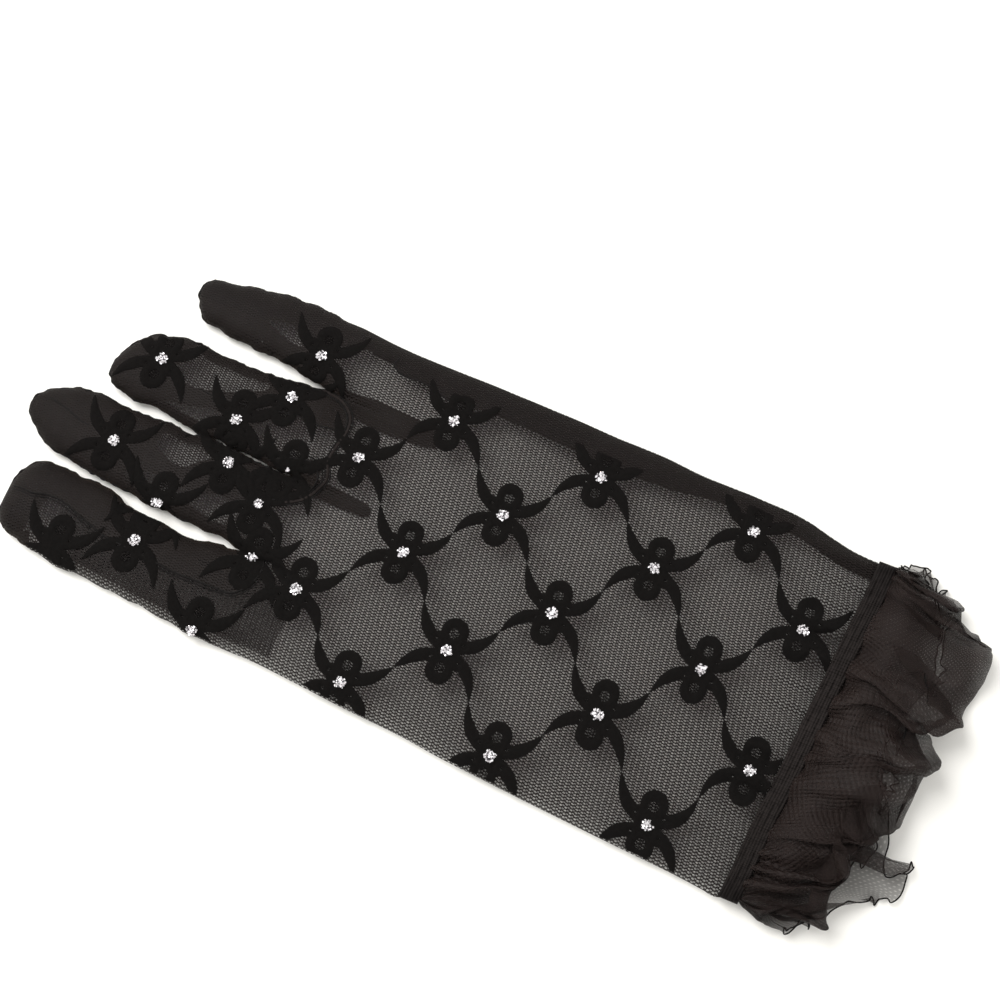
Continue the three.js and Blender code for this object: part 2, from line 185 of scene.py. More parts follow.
def noise(x, y, seed, scale):
    """Soft bumps between about -1 and 1: a sum of seeded plane waves about scale millimetres long."""
    rng = np.random.default_rng(seed)
    total = np.zeros(np.broadcast(x, y).shape)
    for _ in range(7):
        angle = rng.uniform(0, 2 * math.pi)
        number = 2 * math.pi / (scale * rng.uniform(0.7, 1.6))
        phase = rng.uniform(0, 2 * math.pi)
        total = total + np.sin(number * (x * math.cos(angle) + y * math.sin(angle)) + phase)
    return total / 3.2


def hand_edges(y):
    """Index edge and little edge of the hand at y, on curves through HAND_EDGES."""
    return smooth_columns(y, HAND_EDGES[:, 0], HAND_EDGES[:, 1:])


def tapered(y, rows, tip, blunt, bend):
    """Left and right edge at y of a strip that ends in a round tip, and its share of full width there.

    Up to the last row the edges run through the rows (y, left, right).  From there to the tip (x, y), with t
    going from 0 to 1, the half-width is w (1 - t^n)^(1/n), n being blunt, and the middle shifts by t^bend.
    """
    base = rows[-1]
    t = np.clip((y - base[0]) / (tip[1] - base[0]), 0, 1)
    full = (1 - t ** blunt) ** (1 / blunt)
    middle = mix((base[1] + base[2]) / 2, tip[0], t ** bend)
    half = (base[2] - base[1]) / 2 * full
    left, right = smooth_columns(y, rows[:, 0], rows[:, 1:])
    return np.where(y > base[0], middle - half, left), np.where(y > base[0], middle + half, right), full


def finger_bounds(k, y):
    """Left and right edge of finger k at y, carried on into the hand below its crotches.

    Just above a crotch the gap opens as a V.  In the hand the fingers share its width evenly at the wrist.
    Small bumps, from soft noise along the seams, pucker the outlines.
    """
    finger = FINGERS[k]
    left, right, _ = tapered(y, finger["edges"], finger["tip"], finger["blunt"], 2)
    hand_left, hand_right = hand_edges(y)
    bounds = []
    for side, edge in ((k, left), (k + 1, right)):
        crotch_x, crotch_y = CROTCHES[side]
        if side in (0, 4):
            outer = hand_left if side == 0 else hand_right
            bounds.append(mix(outer, edge, smooth(y, FINGER_Y - 5, FINGER_Y + 2)) + pucker(y, k, side))
            continue
        open_share = np.clip((y - crotch_y) / CROTCH_REACH, 0, 1)
        gap = mix(crotch_x, edge + pucker(y, k, side), open_share)
        share = mix(side / 4, crotch_share(side), smooth(y, EVEN_Y, crotch_y))
        inside = mix(hand_left, hand_right, share)
        bounds.append(np.where(y > crotch_y, gap, inside))
    return bounds[0], bounds[1]


def pucker(y, k, side):
    """Bumps of a finger's outline by two soft noises along it; they die away into the hand."""
    wave = sum(size * noise(y, 0 * y, seed + 2 * k + side, length) for size, seed, length in PUCKERS)
    return wave * smooth(y, FINGER_Y, FINGER_Y + 9)


def crotch_share(side):
    """How far across the hand a crotch is, from 0 at the index edge to 1 at the little edge."""
    left, right = hand_edges(CROTCHES[side, 1])
    return (CROTCHES[side, 0] - left) / (right - left)


def finger_at(x, y):
    """Which finger's strip a place is in."""
    which = np.zeros(np.broadcast(x, y).shape, int)
    for k in range(3):
        between = (finger_bounds(k, y)[1] + finger_bounds(k + 1, y)[0]) / 2
        which = which + (x > between)
    return which


def crowns(x, y):
    """(openness, height, inside) of the tube of cloth at a place.

    Openness is 0 on a fold and 1 where back and palm lie apart in full.  Across the hand it is
    (1 - |s|^9)^0.55 with s from -1 to 1, and across a finger (1 - |s|^2.6)^0.6 times a factor that closes
    the tip; the two blend over the fingers' roots.  inside is False off the glove.
    """
    left, right = hand_edges(y)
    s = np.clip(np.abs(2 * (x - left) / (right - left) - 1), 0, 1)
    hand = (1 - s ** 9) ** 0.55
    which = finger_at(x, y)
    finger, height, inside = np.zeros(which.shape), np.zeros(which.shape), np.zeros(which.shape, bool)
    for k, data in enumerate(FINGERS):
        left, right = finger_bounds(k, y)
        width = np.maximum(right - left, 1e-6)
        s = np.clip(np.abs(2 * (x - left) / width - 1), 0, 1)
        base, tip = data["edges"][-1][0], data["tip"][1]
        t = np.clip((y - base) / (tip - base), 0, 1)
        here = which == k
        finger = np.where(here, (1 - s ** 2.6) ** 0.6 * (1 - t ** 2.5) ** 0.5, finger)
        height = np.where(here, data["height"], height)
        inside = np.where(here, (x > left) & (x < right) & (y < tip), inside)
    in_finger = smooth(y, FINGER_Y - ROOT_BLEND, FINGER_Y)
    return mix(hand, finger, in_finger), mix(HAND_HEIGHT, height, in_finger), inside


def thumb_lift(x, y):
    """How far the folded thumb raises the palm layer: in full under the index finger, none elsewhere."""
    begin, end, side = THUMB_SPAN
    return THUMB_LIFT * smooth(y, *begin) * (1 - smooth(y, *end)) * (1 - smooth(x, *side))


def gathers(x, y):
    """Puckers of the net at the elastic, dying away up the hand: a sine across x, uneven in length."""
    height, length, begin, end = GATHERS
    fade = 1 - smooth(y - WRIST_SLANT * (x - WRIST_MIDDLE), begin, end)
    wave = np.sin(2 * math.pi * (x / length + 0.12 * np.sin(x / 5.0)) + 0.05 * y)
    return height * fade * wave


def back_height(x, y):
    """Height of the back: the fold's height, and the rest of the tube's with soft bumps times openness."""
    open_share, height, _ = crowns(x, y)
    relief = sum(size * noise(x, y, seed, length) for size, seed, length in RELIEF) + gathers(x, y)
    return FOLD_HEIGHT + (height - FOLD_HEIGHT + relief) * open_share


def palm_height(x, y):
    """Height of the palm, which openness lowers from the fold's almost to the table or the thumb."""
    open_share, _, _ = crowns(x, y)
    size, seed, length = PALM_RELIEF
    low = PALM_HEIGHT + thumb_lift(x, y) + size * (1 + noise(x, y, seed, length))
    return FOLD_HEIGHT + (low - FOLD_HEIGHT) * open_share


def place(x, y, z):
    """Chart millimetres to metres in the CAD frame.

    A charted outline is where the camera sees it on the plane z = CHART_HEIGHT.  A lower point is moved
    away from the camera's foot by (camera height - z) / (camera height - CHART_HEIGHT) to show there too.
    """
    x, y, z = np.broadcast_arrays(np.asarray(x, float), y, z)
    foot = CAMERA_PLACE[:2]
    stretch = (CAMERA_PLACE[2] - z) / (CAMERA_PLACE[2] - CHART_HEIGHT)
    px = foot[0] + (x - foot[0]) * stretch - GLOVE_ZERO[0]
    py = foot[1] + (y - foot[1]) * stretch - GLOVE_ZERO[1]
    return np.stack([px, py, z], -1) * MM


def grid_faces(rows, columns, wrap=False, flip=False):
    """Quads of a grid of points numbered row by row; wrap joins the last column to the first."""
    across = columns if wrap else columns - 1
    r, c = np.meshgrid(np.arange(rows - 1), np.arange(across), indexing="ij")
    n = (c + 1) % columns
    quads = np.stack([r * columns + c, r * columns + n, (r + 1) * columns + n, (r + 1) * columns + c], -1)
    quads = quads.reshape(-1, 4)
    return quads[:, ::-1] if flip else quads


def linked(name, data):
    """An object of the scene that shows the data."""
    thing = bpy.data.objects.new(name, data)
    bpy.context.collection.objects.link(thing)
    return thing


def square(name):
    """A level sheet at the table's height, six metres wide."""
    mesh = bpy.data.meshes.new(name)
    mesh.from_pydata([(-3, -3, 0), (3, -3, 0), (3, 3, 0), (-3, 3, 0)], [], [(0, 1, 2, 3)])
    return linked(name, mesh)


class Patchwork:
    """Collects grids of points, in metres, into the arrays of one piece.

    Each point has a place on the UV map and a depth: how far inside the piece's drawn outline it is.
    """

    def __init__(self):
        self.points, self.faces, self.uv, self.depth, self.count = [], [], [], [], 0

    def add_faces(self, points, faces, depth=None, uv=None):
        self.points.append(points)
        self.faces.append(faces + self.count)
        self.uv.append(np.zeros((len(points), 2)) if uv is None else uv)
        self.depth.append(np.zeros(len(points)) if depth is None else depth)
        self.count += len(points)

    def add(self, points, wrap=False, flip=False, uv=None):
        flat_uv = None if uv is None else uv.reshape(-1, 2)
        self.add_faces(points.reshape(-1, 3), grid_faces(*points.shape[:2], wrap, flip), None, flat_uv)

    def piece(self, name, material, merge=0.0, smooth_shade=True, loose=True):
        """The arrays as one object; without loose, points that no face uses are left out.

        Points closer together than merge, in metres, become one.
        """
        points, faces = np.concatenate(self.points), np.concatenate(self.faces)
        uv, depth = np.concatenate(self.uv), np.concatenate(self.depth)
        if not loose:
            used, faces = np.unique(faces, return_inverse=True)
            points, faces, uv, depth = points[used], faces.reshape(-1, 4), uv[used], depth[used]
        mesh = bpy.data.meshes.new(name)
        mesh.from_pydata(points.tolist(), [], faces.tolist())
        mesh.attributes.new("depth", "FLOAT", "POINT").data.foreach_set("value", depth)
        corners = np.empty(len(mesh.loops), int)
        mesh.loops.foreach_get("vertex_index", corners)
        mesh.uv_layers.new(name="UVMap").data.foreach_set("uv", uv[corners].ravel())
        if merge > 0:
            bm = bmesh.new()
            bm.from_mesh(mesh)
            bmesh.ops.remove_doubles(bm, verts=bm.verts, dist=merge)
            bmesh.ops.dissolve_degenerate(bm, edges=bm.edges, dist=1e-7)
            bm.to_mesh(mesh)
            bm.free()
        mesh.polygons.foreach_set("use_smooth", [smooth_shade] * len(mesh.polygons))
        mesh.materials.append(material)
        mesh.update()
        piece = linked(name, mesh)
        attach(piece, "root")
        return piece


def tube(path, radius, sides=6, ends=True):
    """A round cord along path (n, 3) in metres: rings of the radius, square to the path's direction."""
    along = np.gradient(path, axis=0)
    along /= np.maximum(np.linalg.norm(along, axis=1, keepdims=True), 1e-12)
    side = np.cross(along, np.array([0.0, 0.0, 1.0]))
    side /= np.maximum(np.linalg.norm(side, axis=1, keepdims=True), 1e-9)
    up = np.cross(side, along)
    radius = np.broadcast_to(np.asarray(radius, float), len(path)).copy()
    if ends:
        radius[0] = radius[-1] = 1e-6
    angle = round_angles(sides)
    ring = side[:, None] * np.cos(angle)[None, :, None] + up[:, None] * np.sin(angle)[None, :, None]
    return path[:, None] + ring * radius[:, None, None]


def curve_through(points, step):
    """Points every step millimetres along a smooth curve through a short list of chart points."""
    points = np.asarray(points, float)
    reach = np.concatenate([[0], np.cumsum(np.linalg.norm(np.diff(points, axis=0), axis=1))])
    at = np.linspace(0, reach[-1], max(int(reach[-1] / step), 4))
    return np.stack(smooth_columns(at, reach, points), 1)


# Materials

NET_STEPS = (0.664, 1.23)  # from hole to hole, across the glove and along it
NET_HOLE = (0.19, 0.34)  # half-sizes of a hole
NET_LEAN = (-0.0875, -0.123)  # slope of the columns of holes, then of their rows
NET_DRIFT = 1.5  # the cloth's uneven stretch carries the holes about as far


def set_inputs(node, values):
    """Sets inputs of a node from a table of their names."""
    for label, value in values.items():
        node.inputs[label].default_value = value


class Nodes:
    """Short ways to add nodes to a tree."""

    def __init__(self, tree):
        self.tree = tree

    def add(self, kind, **settings):
        node = self.tree.nodes.new(kind)
        for label, value in settings.items():
            setattr(node, label, value)
        return node

    def link(self, source, target):
        self.tree.links.new(source, target)

    def math(self, operation, a, b=None, c=None):
        node = self.add("ShaderNodeMath", operation=operation)
        for socket, value in zip(node.inputs, (a, b, c)):
            if value is None:
                continue
            if isinstance(value, (int, float)):
                socket.default_value = value
            else:
                self.link(value, socket)
        return node.outputs[0]

    def ramp(self, value, low, high, to_low=0.0, to_high=1.0):
        """An S-curve from to_low to to_high as value goes from low to high."""
        node = self.add("ShaderNodeMapRange", interpolation_type="SMOOTHSTEP")
        set_inputs(node, {"From Min": low, "From Max": high, "To Min": to_low, "To Max": to_high})
        self.link(value, node.inputs["Value"])
        return node.outputs["Result"]

    def split(self, vector):
        """The three parts of a vector."""
        node = self.add("ShaderNodeSeparateXYZ")
        self.link(vector, node.inputs[0])
        return node.outputs

    def waves(self, value, length):
        """A sine wave that repeats over length."""
        return self.math("SINE", self.math("MULTIPLY", value, 2 * math.pi / length))

    def noise(self, vector, scale, detail=2.0, output="Fac"):
        node = self.add("ShaderNodeTexNoise")
        set_inputs(node, {"Scale": scale, "Detail": detail})
        self.link(vector, node.inputs["Vector"])
        return node.outputs[output]

    def colour(self, share, dark, light):
        """A colour between dark and light."""
        node = self.add("ShaderNodeMix", data_type="RGBA")
        set_inputs(node, {"A": (*dark, 1), "B": (*light, 1)})
        self.link(share, node.inputs["Factor"])
        return node.outputs["Result"]


def net_group():
    """Small holes of stretch net, from Object coordinates.

    They lie NET_STEPS millimetres apart, on rows that lean a little.  A second, smaller set lies half a step
    along and three tenths of a step across, as the wales of a knitted net zigzag.  A hole is an oval, and
    the distance from its middle is measured in its half-sizes.  The pattern drifts on soft noise, as
    stretched cloth does.  Turn is the angle by which it is turned, in radians; Fineness divides its steps.
    """
    group = bpy.data.node_groups.new("net_holes", "ShaderNodeTree")
    for label, default in (("Openness", 1.0), ("Turn", 0.0), ("Fineness", 1.0)):
        socket = group.interface.new_socket(label, in_out="INPUT", socket_type="NodeSocketFloat")
        socket.default_value = default
    for label in ("Hole", "Height"):
        group.interface.new_socket(label, in_out="OUTPUT", socket_type="NodeSocketFloat")
    n = Nodes(group)
    source = n.add("NodeGroupInput")
    sink = n.add("NodeGroupOutput")
    where = n.add("ShaderNodeTexCoord").outputs["Object"]
    place_in, shift = n.split(where), n.split(n.noise(where, 45.0, 1.0, "Color"))
    x, y = (n.math("MULTIPLY_ADD", place_in[i], 1000.0, n.math("MULTIPLY", shift[i], NET_DRIFT))
            for i in (0, 1))
    cosine, sine = (n.math("MULTIPLY", n.math(wave, source.outputs["Turn"]), source.outputs["Fineness"])
                    for wave in ("COSINE", "SINE"))
    x, y = (n.math("ADD", n.math("MULTIPLY", x, cosine), n.math("MULTIPLY", y, sine)),
            n.math("SUBTRACT", n.math("MULTIPLY", y, cosine), n.math("MULTIPLY", x, sine)))
    x, y = n.math("MULTIPLY_ADD", y, NET_LEAN[0], x), n.math("MULTIPLY_ADD", x, NET_LEAN[1], y)

    def away_from(across_start, along_start):
        """Distance from the nearest hole's middle, of the set that starts at these shares of a step."""
        squares = []
        for where, step, half, start in ((x, NET_STEPS[0], NET_HOLE[0], across_start),
                                         (y, NET_STEPS[1], NET_HOLE[1], along_start)):
            off = n.math("SUBTRACT", n.math("FRACT", n.math("MULTIPLY_ADD", where, 1 / step, start)), 0.5)
            squares.append(n.math("POWER", n.math("MULTIPLY", off, step / half), 2.0))
        return n.math("DIVIDE", n.math("SQRT", n.math("ADD", *squares)), source.outputs["Openness"])

    wide = n.ramp(away_from(0.0, 0.0), 0.80, 1.15, 1.0, 0.0)
    small = n.ramp(away_from(-0.3, 0.5), 0.62, 1.0, 0.7, 0.0)
    hole = n.math("MAXIMUM", wide, small)
    n.link(hole, sink.inputs["Hole"])
    n.link(n.math("SUBTRACT", 1.0, hole), sink.inputs["Height"])
    return group


def cloth_material(name, dark, light, rough, grain_and_shade_scale, metallic=0.0):
    """A Principled finish whose colour drifts between dark and light on soft noise.

    It comes with its nodes, its shader and its texture coordinates.
    """
    material = bpy.data.materials.new(name)
    material.use_nodes = True
    n = Nodes(material.node_tree)
    shader = material.node_tree.nodes["Principled BSDF"]
    set_inputs(shader, {"Roughness": rough, "Metallic": metallic, "Specular IOR Level": 0.12})
    where = n.add("ShaderNodeTexCoord").outputs
    # fine noise is the cloth's uneven tone; at the knit's broad scale it is painted sheen and painted shade
    share = n.noise(where["Object"], grain_and_shade_scale)
    n.link(n.colour(share, dark, light), shader.inputs["Base Color"])
    return material, n, shader, where


def add_bump(n, shader, height, distance):
    """Relief of the surface from height, which is at most distance metres."""
    bump = n.add("ShaderNodeBump")
    set_inputs(bump, {"Strength": 1.0, "Distance": distance})
    n.link(height, bump.inputs["Height"])
    n.link(bump.outputs["Normal"], shader.inputs["Normal"])


def net_material(name, openness, group, yarn=0.96, turn=0.0, fineness=1.0, hole=0.03):
    """Black stretch net: yarn nearly opaque, holes nearly clear."""
    material, n, shader, _ = cloth_material(name, (0.0084, 0.0065, 0.0060), (0.0156, 0.0118, 0.0106),
                                            0.62, 900)
    holes = n.add("ShaderNodeGroup", node_tree=group)
    set_inputs(holes, {"Openness": openness, "Turn": math.radians(turn), "Fineness": fineness})
    n.link(n.ramp(holes.outputs["Hole"], 0.0, 1.0, yarn, hole), shader.inputs["Alpha"])
    add_bump(n, shader, holes.outputs["Height"], 0.0002)
    return material


def knit_material(name, dark, light):
    """Opaque stretch knit: wales 0.45 mm apart along the fingers, courses 0.38 mm apart across them.

    Its colour drifts between dark and light in patches about 9 mm across. These are painted sheen and painted
    shade that stand in for the light on the fingers' rounded crowns, and they are laid at random.
    """
    material, n, shader, where = cloth_material(name, dark, light, 0.8, 110)
    split = n.split(where["Object"])
    wale, course = n.waves(split[0], 0.00045), n.waves(split[1], 0.00038)
    add_bump(n, shader, n.math("ADD", wale, n.math("MULTIPLY", course, 0.5)), 0.00006)
    inside = n.add("ShaderNodeAttribute", attribute_name="depth")
    n.link(n.ramp(inside.outputs["Fac"], -0.1, 0.1), shader.inputs["Alpha"])
    return material


def flock_material():
    """Flock pile: deep black, matt, with a faint velvety edge."""
    material, n, shader, where = cloth_material("black_flock", (0.0040, 0.0036, 0.0034),
                                                (0.0085, 0.0076, 0.0071), 0.95, 1500)
    set_inputs(shader, {"Specular IOR Level": 0.03, "Sheen Weight": 0.01, "Sheen Roughness": 0.4})
    fibres = n.noise(where["Object"], 5200, 1.0)
    add_bump(n, shader, fibres, 0.00015)
    inside = n.add("ShaderNodeAttribute", attribute_name="depth")
    # where depth is held just below 0, in the flowers' holes, this lays a thin film of flock over them as
    # painted shade
    cover = n.ramp(inside.outputs["Fac"], -0.36, 0.14)
    cover = n.math("ADD", cover, n.math("MULTIPLY_ADD", fibres, 0.7, -0.35))
    n.link(n.ramp(cover, 0.25, 0.75), shader.inputs["Alpha"])
    return material


def thread_material():
    """Sewing thread: a fine uneven ply."""
    material, n, shader, where = cloth_material("black_thread", (0.003, 0.0026, 0.0025),
                                                (0.009, 0.0075, 0.007), 0.7, 1800)
    add_bump(n, shader, n.noise(where["Object"], 3500, 1.0), 0.0001)
    return material


def elastic_material():
    """Ribbed elastic, knitted over rubber: 330 fine courses across the ribs on the way round."""
    material, n, shader, where = cloth_material("black_elastic", (0.0078, 0.0062, 0.0058),
                                                (0.028, 0.0225, 0.0210), 0.7, 1100)
    add_bump(n, shader, n.waves(n.split(where["UV"])[0], 1 / 330), 0.00012)
    return material


def chiffon_material():
    """Sheer chiffon: a plain weave of fine threads, every 0.62 mm of its flat cut, with gaps between them.

    It is looser towards its hem, where the flat cut's radius is largest, than where it is gathered.
    """
    material, n, shader, where = cloth_material("black_chiffon", (0.0116, 0.0077, 0.0068),
                                                (0.0245, 0.0166, 0.0145), 0.55, 260)
    x, y, _ = n.split(where["UV"])
    warp, weft = n.waves(x, 0.62), n.waves(y, 0.62)
    gap = n.math("MULTIPLY", n.ramp(warp, -0.2, 0.9), n.ramp(weft, -0.2, 0.9))
    drift = n.noise(where["Object"], 120)
    radius = n.math("SQRT", n.math("ADD", n.math("MULTIPLY", x, x), n.math("MULTIPLY", y, y)))
    dense = n.math("SUBTRACT", n.ramp(drift, 0.3, 0.7, 0.76, 0.86), n.ramp(radius, 50, 70, 0.0, 0.24))
    alpha = n.math("SUBTRACT", dense, n.math("MULTIPLY", gap, 0.28))
    n.link(alpha, shader.inputs["Alpha"])
    add_bump(n, shader, n.math("ADD", warp, weft), 0.00006)
    return material


NET = net_group()
MATERIALS = {
    "net": net_material("black_net", 0.95, NET),
    "finger_net": net_material("black_finger_net", 0.80, NET),
    "palm_net": net_material("black_palm_net", 1.0, NET, yarn=0.42, turn=17, fineness=1.25, hole=0.10),
    "thumb_net": net_material("black_thumb_net", 1.15, NET, yarn=0.6),
    # the knit's light tone is painted sheen and its dark tone is painted shade, in random patches
    "knit": knit_material("black_knit", (0.0083, 0.0053, 0.0038), (0.0231, 0.0160, 0.0115)),
    # the same knit drawn darker all over: painted shade on the side strip
    "strip_knit_painted_shade": knit_material("black_knit_painted_shade", (0.0038, 0.0027, 0.0019), (0.0090, 0.0066, 0.0048)),
    "flock": flock_material(),
    "glitter": cloth_material("silver_flakes", (0.72, 0.66, 0.68), (0.98, 0.98, 0.99), 0.28, 2600, 0.85)[0],
    "glue": cloth_material("dot_base", (0.03, 0.028, 0.03), (0.10, 0.095, 0.10), 0.35, 3000)[0],
    "thread": thread_material(),
    "ridge": cloth_material("knit_edge", (0.009, 0.0068, 0.0062), (0.020, 0.0155, 0.014), 0.8, 900)[0],
    "elastic": elastic_material(),
    "chiffon": chiffon_material(),
}


# The sheath of net

FINGER_COLUMNS = (22, 22, 24, 20)
HAND_ROWS = 130
FINGER_ROWS = 46
TIP_ROWS = 14
WRIST_SIDES = (-45.0, 39.0)  # x of the net's two sides at the wrist
SEAM_GAP = 0.04  # back and palm are apart by this much where they are sewn, and not where they are folded


def wrist_y(x):
    """Where the net ends, under the band."""
    return WRIST_Y + WRIST_SLANT * (x - WRIST_MIDDLE)


def net_layer(height):
    """Grids of one layer of net: the hand from wrist to crotches, then each finger to its tip.

    A point is (x, y, height(x, y)).  A hand row runs from edge to edge; a finger's rows run between its
    bounds, closing in on the tip.  They lie closer together near the crotch, as v^1.3, and at the tip, as
    the sine of an even angle.  On the outer columns the height is that of the fold.
    """
    grids = []
    total = sum(FINGER_COLUMNS)
    starts = np.concatenate([[0], np.cumsum(FINGER_COLUMNS)])
    shares = np.array([0, *(crotch_share(side) for side in (1, 2, 3)), 1])
    column = np.arange(total + 1)
    at_crotch = np.interp(column, starts, shares)
    crotch_y = np.interp(column, starts, CROTCHES[:, 1])
    even = np.interp(column, starts, np.arange(5) / 4)
    v = np.linspace(0, 1, HAND_ROWS)[:, None]
    y = mix(wrist_y(mix(*WRIST_SIDES, column / total)), crotch_y, v)
    x = mix(*hand_edges(y), mix(even, at_crotch, smooth(y, EVEN_Y, crotch_y)))
    z = height(x, y)
    z[:, 0] = z[:, -1] = FOLD_HEIGHT
    z[-1, starts] = FOLD_HEIGHT
    x[-1, starts] = CROTCHES[:, 0]
    grids.append((x, y, z))
    for k, data in enumerate(FINGERS):
        columns = FINGER_COLUMNS[k]
        s = np.linspace(0, 1, columns + 1)[None]
        base = data["edges"][-1][0]
        tip = data["tip"][1]
        body = np.linspace(0, 1, FINGER_ROWS)[:, None] ** 1.3
        y = mix(mix(CROTCHES[k, 1], CROTCHES[k + 1, 1], s), base, body)
        y = np.concatenate([y, closing(base, tip, TIP_ROWS)[1:, None] + 0 * s])
        x = mix(finger_bounds(k, y[:, :1])[0], finger_bounds(k, y[:, -1:])[1], s)
        root = slice(starts[k], starts[k + 1] + 1)
        x[0] = grids[0][0][-1, root]
        z = height(x, y)
        z[0] = grids[0][2][-1, root]
        z[:, 0] = z[:, -1] = FOLD_HEIGHT
        z[-1] = FOLD_HEIGHT
        grids.append((x, y, z))
    return grids


def hand_net():
    """Back and palm of net, open at the wrist.

    They are one cloth, folded along the index edge and sewn round the fingers and down the little edge.
    """
    work = Patchwork()
    for height, flip in ((back_height, False), (palm_height, True)):
        for k, (x, y, z) in enumerate(net_layer(height)):
            if flip:
                z = z - SEAM_GAP * np.isin(np.arange(z.shape[1]), [0, z.shape[1] - 1])
                if k < 2:
                    z[:, 0] = FOLD_HEIGHT
            work.add(place(x, y, z), flip=flip)
    piece = work.piece("hand_net_cloth", MATERIALS["net"], merge=2e-6)
    piece.data.materials.append(MATERIALS["finger_net"])
    piece.data.materials.append(MATERIALS["palm_net"])
    finger_y = (FINGER_Y - GLOVE_ZERO[1]) * MM
    kind = [2 if face.normal.z < 0 else int(face.center.y > finger_y) for face in piece.data.polygons]
    piece.data.polygons.foreach_set("material_index", kind)
    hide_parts("hand_net")


# Flocked flowers

FLOCK_CELL = 0.33
FLOWER_REACH = 10.6

# A flower's discs: x, y, radius.  Turned half round, a flower is the same, so this is one half of it.
RINGS = [(4.85, 0.0, 3.05)]
WEBS = [(2.2, -3.1, 1.55), (-2.0, -3.1, 1.55)]  # flock that joins the rings to the leaves
HOLES = [(4.25, 0.0, 1.35), (2.45, -3.05, 0.48), (-1.85, -3.4, 0.48)]  # in a ring, and two eyelets
HEART_RADIUS = 2.5
# Leaves from base to tip: x, y, half-width
LEAVES = [
    [(1.4, -2.3, 1.15), (3.2, -5.4, 1.4), (5.7, -7.7, 0.85), (8.73, -9.22, 0.06)],
    [(-0.9, -2.6, 1.15), (-3.0, -5.7, 1.35), (-5.7, -7.8, 0.8), (-8.73, -9.22, 0.06)],
]
LEAF_DISCS = 26
WRIST_MARGIN = 0.6  # the flock ends this far from the band's edge of the net
STRIP_OVERLAP = 2.4  # and reaches this far on to the side strip
PILE = (0.06, 0.40, 0.5)  # its height over the net at its rim, how much it rises, over what length
FUZZ_REACH = 0.36  # single fibres stand this far out of the outline
HOLE_SHADE = 0.10  # the flowers' holes get a thin film of flock, as thin as the fuzz is this far out of the outline: painted shade


def turned_too(discs):
    """The discs and, after them, the same ones turned half round."""
    return [(sign * x, sign * y, radius) for sign in (1, -1) for x, y, radius in discs]


def leaf_discs(leaf):
    """A leaf as a row of discs, which swell and taper on smooth curves through its table."""
    reach = np.arange(len(leaf)) / (len(leaf) - 1)
    return np.stack(smooth_columns(np.linspace(0, 1, LEAF_DISCS), reach, leaf), 1).tolist()


PETALS = RINGS + WEBS + leaf_discs(LEAVES[0]) + leaf_discs(LEAVES[1])
FLOWER_DISCS = [(0, 0, HEART_RADIUS)] + turned_too(PETALS)
FLOWER_HOLES = turned_too(HOLES)


def outside_by(x, y, discs):
    """Distance in millimetres from the outline of all the discs together, negative inside."""
    return np.min([np.hypot(x - cx, y - cy) - radius for cx, cy, radius in discs], 0)


def flower_mesh():
    """Points and quads of one flower: grid cells inside the outline or within its fuzz.

    The edge points are moved on to the fuzz's own outline, in three steps down the distance's slope.  depth
    is how far inside the flower's outline a point is. In the holes it is held a little below 0, so that a
    thin film of flock lies over them as painted shade.
    """
    count = int(2 * FLOWER_REACH / FLOCK_CELL) + 1
    line = np.linspace(-FLOWER_REACH, FLOWER_REACH, count)
    x, y = np.meshgrid(line, line)
    quads = grid_faces(count, count)
    quads = quads[outside_by(x, y, FLOWER_DISCS).ravel()[quads].mean(1) < FUZZ_REACH]
    corners_used = np.zeros(count * count, int)
    np.add.at(corners_used, quads.ravel(), 1)
    rim = (corners_used > 0) & (corners_used < 4)
    x, y = x.ravel().copy(), y.ravel().copy()
    step = 0.02
    for _ in range(3):
        off = outside_by(x[rim], y[rim], FLOWER_DISCS) - FUZZ_REACH
        slope_x, slope_y = ((outside_by(x[rim] + dx, y[rim] + dy, FLOWER_DISCS)
                             - outside_by(x[rim] - dx, y[rim] - dy, FLOWER_DISCS)) / (2 * step)
                            for dx, dy in ((step, 0), (0, step)))
        move = np.clip(off / np.maximum(slope_x * slope_x + slope_y * slope_y, 0.25), -0.3, 0.3)
        x[rim] -= move * slope_x
        y[rim] -= move * slope_y
    used, quads = np.unique(quads, return_inverse=True)
    x, y = x[used], y[used]
    # in the holes depth stops a little below 0, which leaves the painted shade's thin film of flock there
    depth = np.minimum(-outside_by(x, y, FLOWER_DISCS), np.maximum(outside_by(x, y, FLOWER_HOLES), -HOLE_SHADE))
    return x, y, depth, quads.reshape(-1, 4)


# Where the stretched cloth has carried the lattice's dots: the lattice's m and n, then x and y
SEEN_DOTS = np.array([
    (0, 0, 0.0, 99.54), (1, -1, 17.49, 118.43), (-1, 1, -17.51, 81.01), (-2, 2, -35.66, 63.04),
    (1, 1, 17.15, 81.59), (2, 0, 34.37, 101.15), (0, 2, -0.32, 62.32), (-2, 4, -36.76, 25.42),
    (2, 2, 34.44, 63.57), (1, 3, 18.45, 44.30), (-1, 5, -16.97, 8.52), (-1, -1, -17.33, 118.77),
    (-2, 0, -33.34, 100.63),
])

# Dots on the fingers: x, y, turn of the flower in degrees, share of the dot that shows
FINGER_FLOWERS = [
    (-21.0, 158.4, 0, 1), (-29.4, 175.3, 0, 0), (-14.6, 131.4, 0, 1), (-0.7, 174.0, 0, 1),
    (4.6, 146.4, 8, 1), (-10.7, 157.7, 0, 1), (8.2, 132.7, 0, 0.35), (22.5, 172.6, 0, 1),
    (15.1, 149.4, 0, 1), (25.3, 139.4, 0, 1), (37.8, 137.2, 0, 1), (-1.9, 135.5, 0, 0.8),
    (-34.9, 136.9, 0, 1),
]


